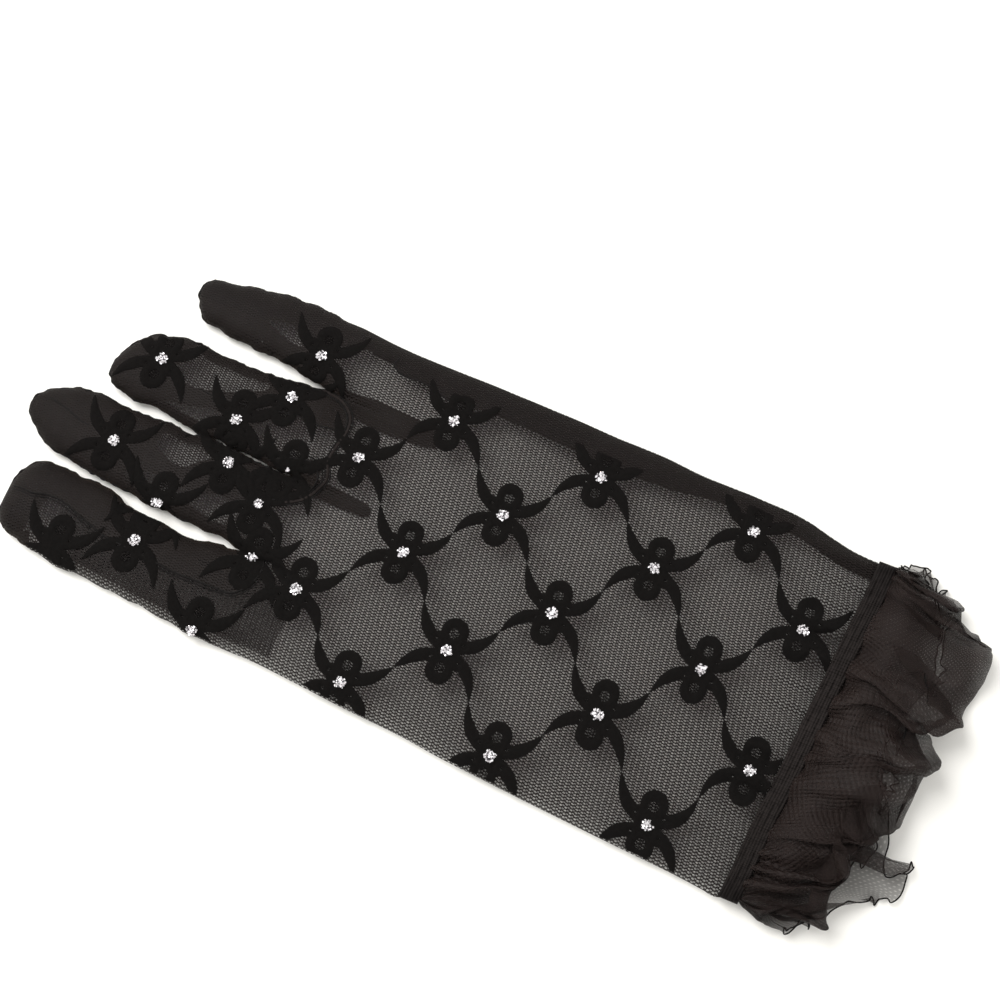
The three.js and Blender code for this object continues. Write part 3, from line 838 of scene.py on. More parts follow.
def carry(x, y):
    """Where the cloth carries a lattice place: the seen dots' shifts, weighted by 1 / (d^2 + 40)^2."""
    rest = np.stack([LATTICE_X * SEEN_DOTS[:, 0], LATTICE_FIRST[1] - LATTICE_Y * SEEN_DOTS[:, 1]], 1)
    shift = SEEN_DOTS[:, 2:] - rest
    x, y = np.asarray(x, float), np.asarray(y, float)
    weight = 1 / ((x[..., None] - rest[:, 0]) ** 2 + (y[..., None] - rest[:, 1]) ** 2 + 40) ** 2
    weight = weight / weight.sum(-1, keepdims=True)
    return x + weight @ shift[:, 0], y + weight @ shift[:, 1]


def flower_places():
    """Every flower's place, turn, share of its dot that shows and whether the hand's cloth carries it.

    Dots a little outside the hand count too, because their leaves reach in.
    """
    places = []
    for n in range(-1, 6):
        for m in range(-3, 3):
            if (m + n) % 2:
                continue
            x, y = LATTICE_FIRST[0] + m * LATTICE_X, LATTICE_FIRST[1] - n * LATTICE_Y
            left, right = hand_edges(np.array(y))
            if left - 6 < x < right + 2:
                places.append((x, y, 0, 1, True))
    return places + [(*flower, False) for flower in FINGER_FLOWERS]


def on_glove(x, y, margin=0.0):
    """True where a place is on the glove's back, margin millimetres or more inside its outline."""
    left, right = hand_edges(y)
    in_hand = (x > left + margin) & (x < right - margin) & (y > wrist_y(x) + WRIST_MARGIN)
    in_hand = in_hand & (inside_by(x, y, SIDE_STRIP) < STRIP_OVERLAP)
    in_finger = crowns(x, y)[2]
    for dx, dy in ((margin, 0), (-margin, 0), (0, margin)):
        in_finger = in_finger & crowns(x + dx, y + dy)[2]
    return np.where(y < CROTCHES[2, 1], in_hand, in_finger)


def flowers():
    """The flock: every flower laid on the back, up to 0.46 mm proud of it and rounded at its rims."""
    fx, fy, depth, quads = flower_mesh()
    work = Patchwork()
    for x0, y0, turn, _, carried in flower_places():
        c, s = math.cos(math.radians(turn)), math.sin(math.radians(turn))
        x, y = x0 + c * fx - s * fy, y0 + s * fx + c * fy
        if carried:
            x, y = carry(x, y)
        keep = on_glove(x, y, 0.15)[quads].all(1)
        if not keep.any():
            continue
        rise = 1 - np.exp(-np.clip(depth + 0.2, 0, None) / PILE[2])
        z = back_height(x, y) + PILE[0] + PILE[1] * rise
        work.add_faces(place(x, y, z), quads[keep], depth)
    piece = work.piece("flock_flowers", MATERIALS["flock"], loose=False)


DOT_LIFT = 0.45  # a dot's foot over the net
DOT_RADIUS = 1.15
DOT_HEIGHT = 0.5
FLAKES = 56
FLAKE_REACH = 1.38  # from the dot's middle to its outermost flakes
FLAKE_LIFTS = (0.02, 0.22)
FLAKE_SIZES = (0.13, 0.26)  # from a flake's middle to its corners
FLAKE_TILT = 0.45


def dots():
    """Glitter: each dot a low dark dome with tilted six-sided flakes scattered over it."""
    rng = np.random.default_rng(5)
    domes, flakes = Patchwork(), Patchwork()
    corner, turn = round_angles(6)[None], round_angles(16)[None]
    ring = np.linspace(0, 1, 5)[:, None]
    for x0, y0, _, share, carried in flower_places():
        x0, y0 = carry(x0, y0) if carried else (np.array(x0), np.array(y0))
        if not share or not on_glove(x0, y0):
            continue
        ground = back_height(x0, y0) + DOT_LIFT
        radius = DOT_RADIUS * share * ring
        domes.add(place(x0 + radius * np.cos(turn), y0 + radius * np.sin(turn),
                        ground + DOT_HEIGHT * (1 - ring ** 2) + 0 * turn), wrap=True)
        count = int(FLAKES * share)
        far = FLAKE_REACH * share * rng.uniform(0, 1, count) ** 0.65
        angle = rng.uniform(0, 2 * math.pi, count)
        middle = [x0 + far * np.cos(angle), y0 + far * np.sin(angle),
                  ground + DOT_HEIGHT * (1 - (far / 1.5) ** 2) + rng.uniform(*FLAKE_LIFTS, count)]
        size = rng.uniform(*FLAKE_SIZES, count)[:, None]
        tilt = rng.normal(0, FLAKE_TILT, (count, 2))
        dx, dy = size * np.cos(corner), size * np.sin(corner)
        dz = dx * tilt[:, :1] + dy * tilt[:, 1:]
        points = place(*(at[:, None] + off for at, off in zip(middle, (dx, dy, dz)))).reshape(-1, 3)
        first = 6 * np.arange(count)[:, None]
        flakes.add_faces(points, np.concatenate([first + [[0, 1, 2, 3]], first + [[0, 3, 4, 5]]]))
    base = domes.piece("dot_bases", MATERIALS["glue"], merge=1e-7)
    glitter = flakes.piece("dot_flakes", MATERIALS["glitter"], smooth_shade=False)


# Opaque gussets, lying between the layers of net

KNIT_INSET = 0.12  # the knit ends this far inside the glove's outline
KNIT_DEPTH = 0.3  # it lies this far inside the net
KNIT_SKIN = 0.05  # but only this far at a fold
KNIT_STEP = 0.8  # from row to row of its grids

INDEX_SEAM = [
    (-19.5, 189.0), (-19.6, 185.6), (-18.8, 182.7), (-18.7, 179.0), (-20.0, 174.1), (-21.5, 169.6),
    (-22.5, 166.3), (-22.9, 163.4), (-23.2, 159.5), (-23.7, 153.1), (-24.1, 149.7), (-24.4, 145.8),
    (-24.3, 141.2), (-24.2, 136.3), (-23.9, 132.3), (-20.8, 129.2),
]
# The knit seen through the backs of the fingers: closed outlines, and the windows left in them
KNIT = [
    ([
        [(-6, 194), (-19.8, 194), *INDEX_SEAM, (-17.1, 128.2), (-14.3, 128.4), (-6, 129)],
        [(-36, 194), (-36, 180), (-31.4, 180.0), (-29.6, 181.3), (-26.7, 182.4), (-23.5, 182.6),
         (-18, 181), (-18, 194)],
    ], [
        [(-24.6, 188.7), (-22.2, 187.6), (-22.0, 184.8), (-23.6, 182.8), (-25.8, 182.4), (-28.2, 182.5),
         (-29.4, 184.3), (-29.0, 186.8), (-27.8, 188.4)],
        [(-19.3, 143.7), (-18.9, 140.7), (-19.1, 136.9), (-20.0, 135.1), (-21.2, 138.2), (-20.6, 141.2)],
    ]),
    ([
        [(-16, 200), (12, 200), (12, 125), (6.8, 124.8), (3.4, 126.4), (0.8, 130.0), (-1.0, 134.5),
         (-4.3, 139.9), (-10.5, 141.7), (-10.6, 137), (-12, 131), (-16, 129)],
    ], [
        [(5.3, 163.9), (6.7, 159.7), (6.1, 157.2), (6.4, 153.0), (5.6, 149.4), (4.1, 150.3),
         (1.9, 153.1), (-0.6, 155.6), (-0.5, 158.9), (1.9, 163.9)],
        [(-7.3, 168.6), (-5.5, 165.7), (-4.5, 161.8), (-4.9, 157.3), (-5.1, 149.2), (-3.2, 145.2),
         (-4.3, 139.9), (-9.1, 135.1), (-10.5, 141.7), (-9.3, 145.5), (-8.5, 150.2), (-8.9, 156.4),
         (-8.7, 161.9), (-8.6, 165.2)],
    ]),
    ([
        [(4, 188), (34, 188), (34, 128), (29.5, 126.6), (25.7, 124.3), (22, 123.2), (14, 123.2),
         (9.9, 125.3), (6.8, 124.8), (4, 125)],
    ], [
        [(21.8, 169.0), (24.0, 167.1), (27.1, 164.7), (28.0, 161.4), (27.9, 157.8), (27.8, 152.9),
         (27.8, 149.0), (27.7, 146.5), (26.8, 144.8), (24.6, 145.9), (22.7, 148.8), (20.6, 154.4),
         (19.2, 159.2), (18.6, 163.3), (19.2, 166.9)],
        [(11.7, 169.8), (13.0, 167.2), (13.6, 163.1), (14.4, 159.1), (15.4, 155.2), (15.0, 152.6),
         (12.9, 153.5), (11.4, 156.0), (11.1, 160.8), (11.0, 165.1), (11.1, 168.4)],
        [(14.8, 144.1), (18.1, 142.3), (21.1, 138.9), (21.4, 134.1), (21.2, 130.3), (21.8, 123),
         (19.3, 121.0), (12.0, 121.9), (11.9, 127.6), (11.9, 132.1), (10.1, 138.6), (10.1, 144.0)],
    ]),
    ([
        [(28, 176), (54, 176), (54, 118), (43.2, 118), (43.2, 127.9), (42.4, 132.6), (41.0, 136.0),
         (37.5, 137.0), (36.1, 134.8), (34.1, 131.9), (30.9, 128.5), (28, 128)],
    ], [
        [(41.1, 153.7), (42.2, 150.2), (42.3, 146.2), (40.7, 144.7), (38.5, 140.9), (37.9, 143.7),
         (38.6, 147.0), (40.0, 150.2)],
        [(36.0, 157.5), (36.0, 153.6), (35.6, 149.4), (34.2, 146.3), (34.1, 149.6), (34.9, 154.2)],
    ]),
]
KNIT_PALM_WIDTHS = [(0, 3.4), (2.8, 2.4), (2.4, 2.6), (2.6, 4.0)]  # on the palm, beside each finger's edges
TIP_CAP = 8  # on the palm the knit covers this much of a fingertip
STRIP_ON_PALM = 4.6  # the side strip's width there
STRIP_ROWS = (-6.1, 127.0, 0.9)  # first and last y of its grid, and the step
STRIP_INNER = 33.0  # x of the grid's inner side
KNIT_FRINGE = 0.25  # its grids reach this far past the outline, which the material draws
TAIL_LIFT = 0.4  # the gussets' tails lie this far over the palm's net

# Outlines of the strip down the hand's edge and of the gussets' tails in the palm
SIDE_STRIP = [(54, -7), (36.4, -7), (37.0, 6), (38.4, 20), (39.6, 34), (37.8, 46.5), (37.4, 56.9), (38.0, 66),
              (38.5, 75.7), (39.1, 84.7), (39.5, 93.9), (39.0, 100.0), (38.8, 105.8), (40.0, 109.1),
              (40.4, 112.7), (40.5, 117.7), (42.1, 120.2), (43.2, 120.6), (43.2, 127), (54, 127)]
TAIL_RING = [(31.6, 129), (32.3, 119.6), (31.6, 111.0), (30.9, 104.5), (29, 102.2), (26.5, 102.4),
             (25.5, 105), (25.3, 111.2), (25.0, 116.9), (26.5, 124.9), (27, 129)]
TAIL_MIDDLE = [(4.2, 111.4), (5.0, 110.4), (6.6, 110.4), (7.4, 111.6), (8.5, 122), (8.2, 128), (4.4, 128),
               (4.2, 120)]


def inside_by(x, y, outline):
    """How far inside a closed outline a place is, in millimetres, and less than 0 outside it.

    It is the distance to the nearest of the outline's sides, signed by how often a line from the place
    towards +x crosses them.
    """
    a = np.array(outline, float)
    b = np.roll(a, -1, 0)
    side = b - a
    px, py = np.asarray(x, float)[..., None], np.asarray(y, float)[..., None]
    t = np.clip(((px - a[:, 0]) * side[:, 0] + (py - a[:, 1]) * side[:, 1]) / (side ** 2).sum(1), 0, 1)
    near = np.hypot(px - a[:, 0] - t * side[:, 0], py - a[:, 1] - t * side[:, 1]).min(-1)
    rise = np.where(side[:, 1] == 0, 1e-9, side[:, 1])
    crosses = ((a[:, 1] > py) != (b[:, 1] > py)) & (px < side[:, 0] * (py - a[:, 1]) / rise + a[:, 0])
    return np.where(crosses.sum(-1) % 2 == 1, near, -near)


def knit_cover(k, x, y):
    """How far inside the knit of finger k's back a place is: its outlines together, less the windows."""
    solid, windows = KNIT[k]
    cover = np.max([inside_by(x, y, outline) for outline in solid], 0)
    return np.min([cover, *(-inside_by(x, y, outline) for outline in windows)], 0)


def knit_sheet(work, x, y, z, cover):
    """Adds a grid, leaving out the quads that are farther outside the cover than the fringe."""
    quads = grid_faces(*x.shape)
    keep = cover.ravel()[quads].max(1) > -KNIT_FRINGE
    work.add_faces(place(x, y, z).reshape(-1, 3), quads[keep], cover.ravel())


def inside_net(x, y, from_fold, inner):
    """Heights of knit under the back and over the palm, nearing the net within 0.75 mm of a fold.

    inner is how much further in it lies than the next panel, which it overlaps.
    """
    depth = KNIT_DEPTH * np.minimum(1, 4 * from_fold / 3)
    return back_height(x, y) - depth - KNIT_SKIN - inner, palm_height(x, y) + depth + KNIT_SKIN + inner


def finger_knit(work, k, low, high, inner):
    """The knit of finger k between x = low and x = high, under its back net and over its palm net."""
    data = FINGERS[k]
    base, tip = data["edges"][-1][0], data["tip"][1]
    body = np.arange(121.0, base, KNIT_STEP)
    y = np.concatenate([body, closing(base, tip, 14)])[:, None]
    left, right = finger_bounds(k, y)
    x = mix(left + KNIT_INSET, right - KNIT_INSET, np.linspace(0, 1, 29)[None])
    y = y + 0 * x
    part = np.minimum(x - low, high - x)
    under_back, over_palm = inside_net(x, y, np.minimum(x - left, right - x), inner)
    knit_sheet(work, x, y, under_back, np.minimum(knit_cover(k, x, y), part))
    wide_left, wide_right = KNIT_PALM_WIDTHS[k]
    palm = np.maximum(wide_left - (x - left), wide_right - (right - x))
    palm = np.minimum(np.maximum(palm, y - tip + TIP_CAP), y - (FINGER_Y - 3))
    knit_sheet(work, x, y, over_palm, np.minimum(palm, part))


def palm_tail(work, outline):
    """A patch of knit inside an outline, over the palm's net."""
    low, high = np.min(outline, 0) - 1, np.max(outline, 0) + 1
    x, y = np.meshgrid(*(np.arange(low[i], high[i], KNIT_STEP) for i in (0, 1)))
    knit_sheet(work, x, y, palm_height(x, y) + TAIL_LIFT, inside_by(x, y, outline))


def hand_strip(work):
    """The side strip along the hand, from the wrist to the little finger, folded over its edge."""
    y = np.arange(*STRIP_ROWS)[:, None]
    edge = hand_edges(y)[1] - KNIT_INSET
    x_back = mix(STRIP_INNER, edge, np.linspace(0, 1, 17)[None])
    x_palm = edge - (STRIP_ON_PALM + 0.4) * np.linspace(0, 1, 7)[None, 1:]
    x = np.concatenate([x_back, x_palm], 1)
    y = y + 0 * x
    back = (np.arange(x.shape[1]) < 17)[None]
    cover = np.where(back, inside_by(x, y, SIDE_STRIP), STRIP_ON_PALM - (edge - x))
    cover = np.minimum(cover, y - wrist_y(x) + 0.5)
    under_back, over_palm = inside_net(x, y, edge + KNIT_INSET - x, 0)
    knit_sheet(work, x, y, np.where(back, under_back, over_palm), cover)


# Each knit piece: its name, the node it replaces, its parts (finger, from x, to x, how much further in it
# lies), the outline of its tail in the palm, and its flat size and area in metres
GUSSETS = [
    ("gusset_index_middle", "fourchette_index_middle", [(0, -60, 60, 0), (1, -60, -8.6, 0)], None,
     (0.02, 0.13), 0.0016),
    ("gusset_middle_ring", "fourchette_middle_ring", [(1, -9.4, 60, 0.1), (2, -60, 14.5, 0)], TAIL_MIDDLE,
     (0.024, 0.13), 0.002),
    ("gusset_ring_little", "fourchette_ring_little", [(2, 13.7, 60, 0.1), (3, -60, 41, 0)], TAIL_RING,
     (0.024, 0.13), 0.002),
    ("side_strip_knit", "side_strip", [(3, 40.2, 60, 0.1)], None, (0.016, 0.18), 0.0022),
]


def gussets():
    """Three gussets between the fingers and the strip down the little finger's side of the hand.

    Each takes the knit from the middle of one finger round the crotch to the middle of the next.
    """
    for name, node, parts, tail, flat, area in GUSSETS:
        work = Patchwork()
        if node == "side_strip":
            hand_strip(work)
        for part in parts:
            finger_knit(work, *part)
        if tail:
            palm_tail(work, tail)
        # the side strip takes the darker copy of the knit, which is painted shade
        piece = work.piece(name, MATERIALS["strip_knit_painted_shade" if node == "side_strip" else "knit"], loose=False)
        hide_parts(node)


# Seams

# Seam lines on the backs of the fingers: their places, and then (shift sideways, radius, lift) of each cord
SEAMS = [
    ([(29.7, 133.1), (28.6, 127.4), (26.5, 124.8), (24.8, 123.9), (22.3, 123.6), (17.8, 124.4),
      (14.0, 124.7), (9.4, 123.2), (6.5, 124.0), (3.1, 126.0), (0.2, 130.5)],
     [(0, 0.42, 0.0), (0.62, 0.2, 0.05), (-0.62, 0.2, 0.05)]),
    ([(8.7, 138.0), (11.5, 132.3), (11.8, 127.6), (9.9, 125.6), (6.8, 125.2), (3.8, 126.8), (1.4, 130.2),
      (-0.6, 134.7)], [(0, 0.22, 0.05), (1.1, 0.18, 0.05)]),
    ([(-19.8, 190.6), *INDEX_SEAM, (-17.1, 128.0), (-13.6, 128.6), (-11.4, 132)],
     [(0, 0.24, 0.05), (-0.7, 0.15, 0.02)]),
    ([(3.4, 192.7), (2.3, 187.7), (0.8, 183.1), (0.5, 180.9)], [(0, 0.2, -0.05)]),
    ([(18.8, 160.1), (18.4, 155.5), (19.2, 149.4), (19.8, 143.1), (21.2, 138.9), (21.2, 130.3),
      (21.8, 125.2)], [(0, 0.2, 0.0)]),
    ([(38.8, 99), (38.6, 104), (40.2, 109.1), (40.6, 112.7), (40.7, 117.7), (42.2, 120.0), (44.6, 119.4)],
     [(0, 0.2, 0.0)]),
]
RIM_INSET = 0.3
RIM_RADIUS = 0.30
RIDGE_RADIUS = 0.3  # cords thicker than this are ridges of knit, and the others are threads


def seams():
    """Stitched seams: cords along their lines, thick and thin by turns as stitches sink in.

    The fingers' rims are cords along their outlines, uneven as the knit's turned edge in them is.
    """
    ridges, threads, rims = Patchwork(), Patchwork(), Patchwork()
    for points, cords in SEAMS:
        line = curve_through(points, 0.4)
        run = np.gradient(line, axis=0)
        run /= np.linalg.norm(run, axis=1, keepdims=True)
        for shift, radius, lift in cords:
            x, y = line[:, 0] - shift * run[:, 1], line[:, 1] + shift * run[:, 0]
            path = place(x, y, back_height(x, y) + lift)
            beat = 1 + 0.3 * np.sin(np.arange(len(path)) * 2.1)
            work = ridges if radius > RIDGE_RADIUS else threads
            work.add(tube(path, radius * MM * beat), wrap=True)
    for k, data in enumerate(FINGERS):
        widest, tip = data["edges"][-1][0], data["tip"][1]
        top = closing(widest, tip - RIM_INSET, 26)
        up = np.concatenate([np.arange(CROTCHES[k][1] - 0.8, widest, 0.7), top])
        down = np.concatenate([np.arange(CROTCHES[k + 1][1] - 0.8, widest, 0.7), top])[::-1]
        if k == 0:
            up = up[-14:]
        if k == 3:
            down = down[:14]
        x = np.concatenate([finger_bounds(k, up)[0] + RIM_INSET, finger_bounds(k, down)[1] - RIM_INSET])
        y = np.concatenate([up, down])
        thick = np.maximum(RIM_RADIUS + 0.16 * noise(x, y, 50 + k, 2.2), 0.12)
        rims.add(tube(place(x, y, FOLD_HEIGHT + 0.3 * noise(x, y, 60 + k, 4)), thick * MM), wrap=True)
    for work, name, finish in ((rims, "finger_rims", "thread"), (ridges, "seam_ridge", "ridge"),
                               (threads, "seam_threads", "thread")):
        piece = work.piece(name, MATERIALS[finish], merge=1e-7)


# Elastic band

def elastic_band():
    """The band: a flat ring whose surface has fine ribs, puckered by the gathers it holds.

    Round the wrist its section is a superellipse: x as |cos|^0.9, z as |sin|^0.38 of an even angle.
    """
    count, rows = 420, 57
    v = np.linspace(0, 1, rows)[:, None]
    angle = round_angles(count)[None] + 0 * v
    c, s = np.cos(angle), np.sin(angle)
    x = BAND_MIDDLE + BAND_HALF_GIRTH * np.sign(c) * np.abs(c) ** 0.9
    z = 0.5 + (BAND_HEIGHT - 0.7) / 2 * (1 + np.sign(s) * np.abs(s) ** 0.38)
    rib = 0.32 * np.abs(np.sin(math.pi * BAND_RIBS * v)) ** 0.8
    edge = -0.5 * (np.abs(2 * v - 1) ** 8)
    wobble = 0.22 * noise(x, 30 * v, 31, 9) + 0.12 * np.sin(x * 2.1 + 3 * v)
    up = np.sign(z - BAND_HEIGHT / 2)
    z = z + up * (rib + edge) + np.where(up > 0, wobble, 0.3 * wobble)
    z = np.maximum(z, 0.12)
    y = BAND_Y + WRIST_SLANT * (x - WRIST_MIDDLE) + BAND_WIDTH * (v - 0.5) + 0.25 * noise(x, 0 * x, 33, 26)
    around = np.arange(count)[None] / count + 0 * v
    work = Patchwork()
    work.add(place(x, y, z), wrap=True, flip=True, uv=np.stack([around, v + 0 * around], -1))
    piece = work.piece("elastic_band_cloth", MATERIALS["elastic"])
    wall = piece.modifiers.new("wall", "SOLIDIFY")
    wall.thickness = 0.5 * MM
    wall.offset = -1
    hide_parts("elastic_band")


# Ruffle

RUFFLE_INNER = 33.0  # the ruffle is cut as a flat ring: its inner radius
RUFFLE_DEPTH = 38.0
RUFFLE_COLUMNS, RUFFLE_ROWS = 300, 21
RUFFLE_PLEATS = 34
RUFFLE_FOLDS = 16
PLEAT_HEIGHT = 1.2
SETTLE_FRAMES = 20
SETTLE_SCALE = 0.01  # the cloth is settled ten times as large as it is, in metres to the chart millimetre
RUFFLE_CLOTH = {
    "quality": 5, "mass": 0.2, "tension_stiffness": 20, "compression_stiffness": 20, "shear_stiffness": 6,
    "bending_stiffness": 0.45, "air_damping": 2.0, "vertex_group_mass": "held",
}
RUFFLE_TOUCH = {
    "distance_min": 0.004, "use_self_collision": True, "self_distance_min": 0.005, "self_friction": 8,
    "collision_quality": 2,
}
# Small folds that stand beside the band: x and half-width, place outwards and its reach, height
STANDING_FOLDS = [(8, 4.5, 0.28, 0.13, 9), (-3, 3.0, 0.35, 0.2, 7)]
TUCKED_TO = 0.38  # the hem is tucked back under from the little finger's side to here, in turns

# Where the free edge starts from, round the wrist from the little-finger end over the back and under the
# palm: turn, x, y, z, then how high its folds swing, how far they lean and how far they roll up
RUFFLE_EDGE = np.array([
    (0.00, 42.5, -8.0, 3.75, 1.05, 1.6, 0), (0.04, 42.5, -17.0, 6.75, 3.15, 4, 0),
    (0.09, 39.5, -27.5, 6.75, 4.2, 4.8, 0.24), (0.15, 31.0, -31.0, 7.5, 4.9, 6.4, 0.6),
    (0.21, 18.0, -29.0, 9, 5.6, 8, 0.6), (0.27, 5.0, -27.0, 8.25, 5.6, 8, 0.84),
    (0.33, -8.0, -25.0, 6.75, 4.9, 8, 1.2), (0.38, -20.0, -28.5, 5.25, 4.2, 6.4, 1.2),
    (0.43, -31.0, -29.5, 5.25, 4.2, 6.4, 0.96), (0.47, -42.0, -21.0, 6, 3.5, 4.8, 0.72),
    (0.50, -50.0, -8.0, 6, 2.1, 3.2, 0.36), (0.54, -46.0, -15.0, 1.5, 2.1, 3.2, 0),
    (0.60, -31.0, -22.0, 1.12, 2.1, 4, 0), (0.70, -11.0, -22.0, 1.12, 2.45, 4.8, 0),
    (0.80, 9.0, -25.5, 1.12, 2.45, 4.8, 0), (0.90, 32.0, -26.0, 1.12, 2.1, 4, 0),
    (0.96, 41.5, -16.0, 1.12, 1.75, 2.4, 0),
])


def round_table(turn, values):
    """Values at the stations of RUFFLE_EDGE, run round the wrist and softened over a 25th of a turn."""
    at = np.concatenate([RUFFLE_EDGE[:, 0] + lap for lap in (-1, 0, 1)])
    shifts = np.linspace(-0.02, 0.02, 9)
    return np.mean([np.interp(turn + shift, at, np.tile(values, 3)) for shift in shifts], 0)


def ruffle_start(turn, out):
    """The gathered cloth before it settles.

    turn goes from 0 to 1 round the wrist, out from 0 at the band to 1 at the free edge.  From the band's
    flat ring the cloth runs out to RUFFLE_EDGE.  Narrow pleats ripple it beside the band, broad folds swing
    it up and down and lean it sideways further out, and creases run aslant along the band.  It rolls back
    over itself in places, from the little finger's side to past the middle its hem is tucked back under,
    and two small folds stand beside the band, each a bell curve across and outwards.
    """
    angle = 2 * math.pi * turn
    c, s = np.cos(angle), np.sin(angle)
    back = s >= 0
    up = np.where(back, 1.0, -1.0) * np.abs(s) ** 0.3
    edge_x, edge_y, edge_z, swing, lean, roll = (round_table(turn, RUFFLE_EDGE[:, i]) for i in range(1, 7))
    band_x = BAND_MIDDLE + (BAND_HALF_GIRTH - 1) * np.clip(1.12 * np.abs(c) ** 0.95, 0, 1) * np.sign(c)
    band_y = BAND_Y - BAND_WIDTH / 2 + 0.8 + WRIST_SLANT * (band_x - WRIST_MIDDLE)
    half = (BAND_HEIGHT - 1.6) / 2
    band_z = 0.9 + half + half * np.sign(s) * np.abs(s) ** 0.45
    drift = 0.5 * np.sin(3 * angle + 0.4) + 0.4 * np.sin(7 * angle + 2.0) + 0.25 * np.sin(11 * angle)
    pleat = RUFFLE_PLEATS * angle + drift * 5
    uneven = 1 + 0.35 * np.sin(5 * angle + 1) + 0.3 * np.sin(13 * angle + 2)
    fold = RUFFLE_FOLDS * angle + drift * 1.8 + 0.9 * np.sin(2 * angle)
    fold = np.where(back, fold, 2 * fold)
    grow = out ** 0.8
    fullness = 1 - 0.3 * out + 1.6 * np.sin(math.pi * np.clip(out * 1.15, 0, 1)) * np.abs(up)
    pleat_height = PLEAT_HEIGHT * uneven * fullness
    tuck = 0.9 * np.clip(np.minimum(turn / 0.05, (TUCKED_TO - turn) / 0.06), 0, 1)
    reach = mix(out + 0.3 * roll * np.sin(2 * math.pi * out), 1.08 * np.sin(2.4 * out), tuck)
    x = mix(band_x, edge_x, out) - lean * grow * np.cos(fold) * np.abs(s) ** 0.5
    y = mix(band_y, edge_y, reach) + 2 * grow * np.cos(fold / 2 + 1)
    stack = np.where(out < 0.66, out / 0.66, 1 - (out - 0.66) / 0.34 * 0.75)
    z = mix(band_z, edge_z, out) + 4.2 * roll * stack * (1 - 0.6 * tuck)
    z = z + tuck * (4.5 * np.sin(math.pi * out) ** 0.7 - 3 * out ** 3)
    z = z + np.where(back, 3.0, 0.9) * np.sin(math.pi * out) ** 0.8 * np.abs(up)
    z = z + swing * grow * (np.sin(fold) * up + np.where(back, 0.55, 0.6)) + pleat_height * np.sin(pleat) * up
    for fold_x, width, fold_out, reach, height in STANDING_FOLDS:
        z = z + back * height * np.exp(-((band_x - fold_x) / width) ** 2 - ((out - fold_out) / reach) ** 2)
    crease = 3.2 * math.pi * out + 1.3 * np.sin(4 * angle + 0.5) + np.sin(9 * angle + 2)
    crest = 2.6 * (0.75 + 0.35 * np.sin(7 * angle + 1.2) + 0.25 * np.sin(12 * angle))
    crest = crest * np.where(back, 1.0, 0.25) * np.abs(up)
    crest = crest * np.clip(np.sin(math.pi * np.clip(1.05 * out, 0, 1)), 0, 1) ** 0.6
    z = z + crest * (1 - np.cos(crease))
    y = y + 0.8 * crest * np.sin(crease)
    return x, y, np.maximum(z, 0.5)


def settle(start, flat):
    """Lets the cloth fall and fold from its start, with the lengths of the flat shape.

    Blender's cloth steps do it over a plain ground: the two rows under the band are held fast and the free
    edge lightly.  The objects used for it are removed again.
    """
    rows, columns = start.shape[:2]
    mesh = bpy.data.meshes.new("settling")
    mesh.from_pydata((start * SETTLE_SCALE).reshape(-1, 3).tolist(), [],
                     grid_faces(rows, columns, wrap=True).tolist())
    cloth = linked("settling", mesh)
    cloth.shape_key_add(name="start")
    cut = cloth.shape_key_add(name="cut")
    cut.data.foreach_set("co", (flat * SETTLE_SCALE).reshape(-1))
    number = np.arange(rows * columns).reshape(rows, columns)
    held = cloth.vertex_groups.new(name="held")
    held.add(number[:2].ravel().tolist(), 1.0, "REPLACE")
    held.add(number[-2:].ravel().tolist(), 0.1, "REPLACE")
    fall = cloth.modifiers.new("fall", "CLOTH")
    fall.settings.rest_shape_key = cut
    for settings, table in ((fall.settings, RUFFLE_CLOTH), (fall.collision_settings, RUFFLE_TOUCH)):
        for label, value in table.items():
            setattr(settings, label, value)
    ground = square("ground")
    ground.modifiers.new("stop", "COLLISION")
    ground.collision.cloth_friction = 20
    ground.collision.thickness_outer = 0.003
    scene = bpy.context.scene
    fall.point_cache.frame_start, fall.point_cache.frame_end = 1, SETTLE_FRAMES
    for frame in range(1, SETTLE_FRAMES + 1):
        scene.frame_set(frame)
    settled = cloth.evaluated_get(bpy.context.evaluated_depsgraph_get())
    points = np.empty(rows * columns * 3)
    settled.data.vertices.foreach_get("co", points)
    for data in (mesh, ground.data):
        bpy.data.meshes.remove(data)
    scene.frame_set(1)
    return points.reshape(rows, columns, 3) / SETTLE_SCALE


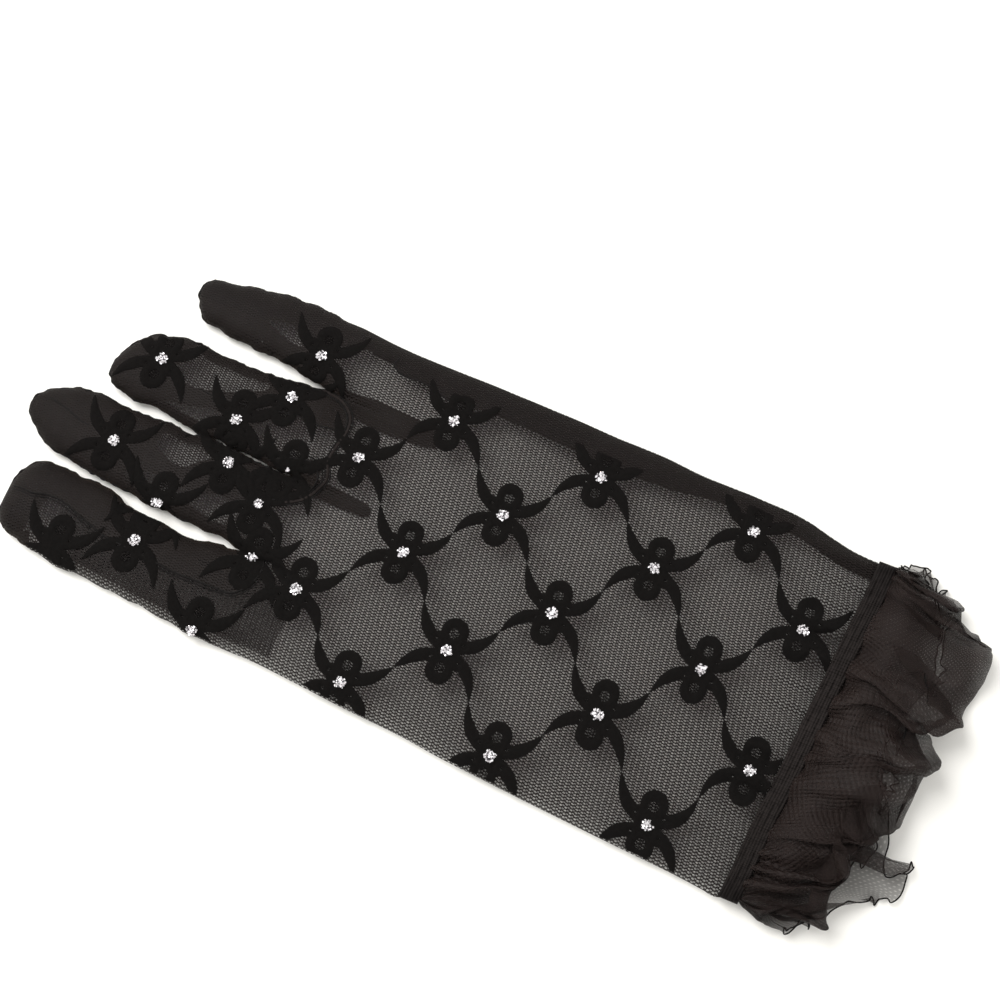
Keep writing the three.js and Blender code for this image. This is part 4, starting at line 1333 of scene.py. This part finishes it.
def ruffle():
    """A gathered chiffon ring, let fall from its start on to the table, with a thread round its hem."""
    turn = np.linspace(0, 1, RUFFLE_COLUMNS, endpoint=False)[None]
    out = np.linspace(0, 1, RUFFLE_ROWS)[:, None]
    shape = np.stack(ruffle_start(turn, out), -1)
    radius, angle = RUFFLE_INNER + RUFFLE_DEPTH * out, 2 * math.pi * turn
    cut = np.stack([radius * np.cos(angle), radius * np.sin(angle), 0 * out * turn], -1)
    shape = settle(shape, cut)
    points = place(shape[..., 0], shape[..., 1], np.maximum(shape[..., 2], LOWEST))
    work = Patchwork()
    work.add(points, wrap=True, flip=True, uv=cut[..., :2])
    piece = work.piece("ruffle_cloth", MATERIALS["chiffon"])
    smoother = piece.modifiers.new("smoother", "SUBSURF")
    smoother.levels = smoother.render_levels = 1
    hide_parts("ruffle")
    edge = np.concatenate([points[-1], points[-1, :1]])
    at = np.arange(len(edge))
    fine = np.linspace(0, len(edge) - 1, 4 * len(edge))
    edge = np.stack(smooth_columns(fine, at, edge), 1)
    hem = Patchwork()
    hem.add(tube(edge, HEM_RADIUS * MM, sides=5, ends=False), wrap=True)
    hem = hem.piece("ruffle_hem", MATERIALS["thread"])


# Thumb

THUMB_EDGES = np.array([(118, -34.2, -16.4), (132, -34.0, -16.2), (144, -33.2, -16.0), (156, -32.2, -16.0),
                        (167, -31.0, -16.6)])
THUMB_TIP = (-23.8, 178.0)
THUMB_FOLD_HEIGHT = 1.1


def thumb():
    """The thumb stall, pressed flat on the table under the index finger.

    Its two layers are folded along one side and sewn along the other.  Each is arched across as
    (1 - s^4)^0.5 with s from -1 to 1.
    """
    base = THUMB_EDGES[-1, 0]
    tip = closing(base, THUMB_TIP[1], 12)[1:]
    y = np.concatenate([np.linspace(THUMB_EDGES[0, 0], base, 40), tip])[:, None]
    left, right, full = tapered(y, THUMB_EDGES, THUMB_TIP, 2, 1)
    s = np.linspace(-1, 1, 21)[None]
    x = mix(left, right, (s + 1) / 2)
    crown = (1 - np.abs(s) ** 4) ** 0.5 * full ** 0.5
    work = Patchwork()
    work.add(place(x, y, THUMB_FOLD_HEIGHT + 0.75 * crown))
    under = THUMB_FOLD_HEIGHT - 0.8 * crown
    under[:, -1] -= SEAM_GAP
    work.add(place(x, y, under), flip=True)
    piece = work.piece("thumb_cloth", MATERIALS["thumb_net"], merge=2e-6)
    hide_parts("thumb")


# Studio

def studio():
    """A plain white table, soft light from all round and one large soft lamp."""
    table = square("floor")
    paint = bpy.data.materials.new("white_table")
    paint.use_nodes = True
    set_inputs(paint.node_tree.nodes["Principled BSDF"],
               {"Base Color": (0.93, 0.915, 0.87, 1), "Roughness": 0.9, "Specular IOR Level": 0.1})
    table.data.materials.append(paint)
    world = bpy.data.worlds.new("studio")
    world.use_nodes = True
    set_inputs(world.node_tree.nodes["Background"], {"Color": (1, 0.995, 0.985, 1), "Strength": 0.86})
    bpy.context.scene.world = world
    lamp = bpy.data.lights.new("soft_lamp", "AREA")
    lamp.shape = "DISK"
    lamp.size = 0.7
    lamp.energy = 10.0
    holder = linked("soft_lamp", lamp)
    holder.location = (0.15, 0.55, 0.9)
    holder.rotation_euler = (-holder.location).to_track_quat("-Z", "Y").to_euler()


def camera():
    """The camera over the table, at the photograph's place and aim."""
    data = bpy.data.cameras.new("camera")
    data.sensor_width = SENSOR_MM
    data.lens = FOCAL_MM
    data.clip_start = 0.01
    eye = linked("camera", data)
    eye.location = Vector((CAMERA_PLACE - np.array([*GLOVE_ZERO, 0.0])) * MM)
    eye.rotation_euler = Vector((LOOK_POINT - CAMERA_PLACE) * MM).to_track_quat("-Z", "Y").to_euler()
    bpy.context.scene.camera = eye


studio()
camera()
hand_net()
flowers()
dots()
gussets()
seams()
elastic_band()
ruffle()
thumb()

bpy.context.scene.view_settings.view_transform = "Standard"
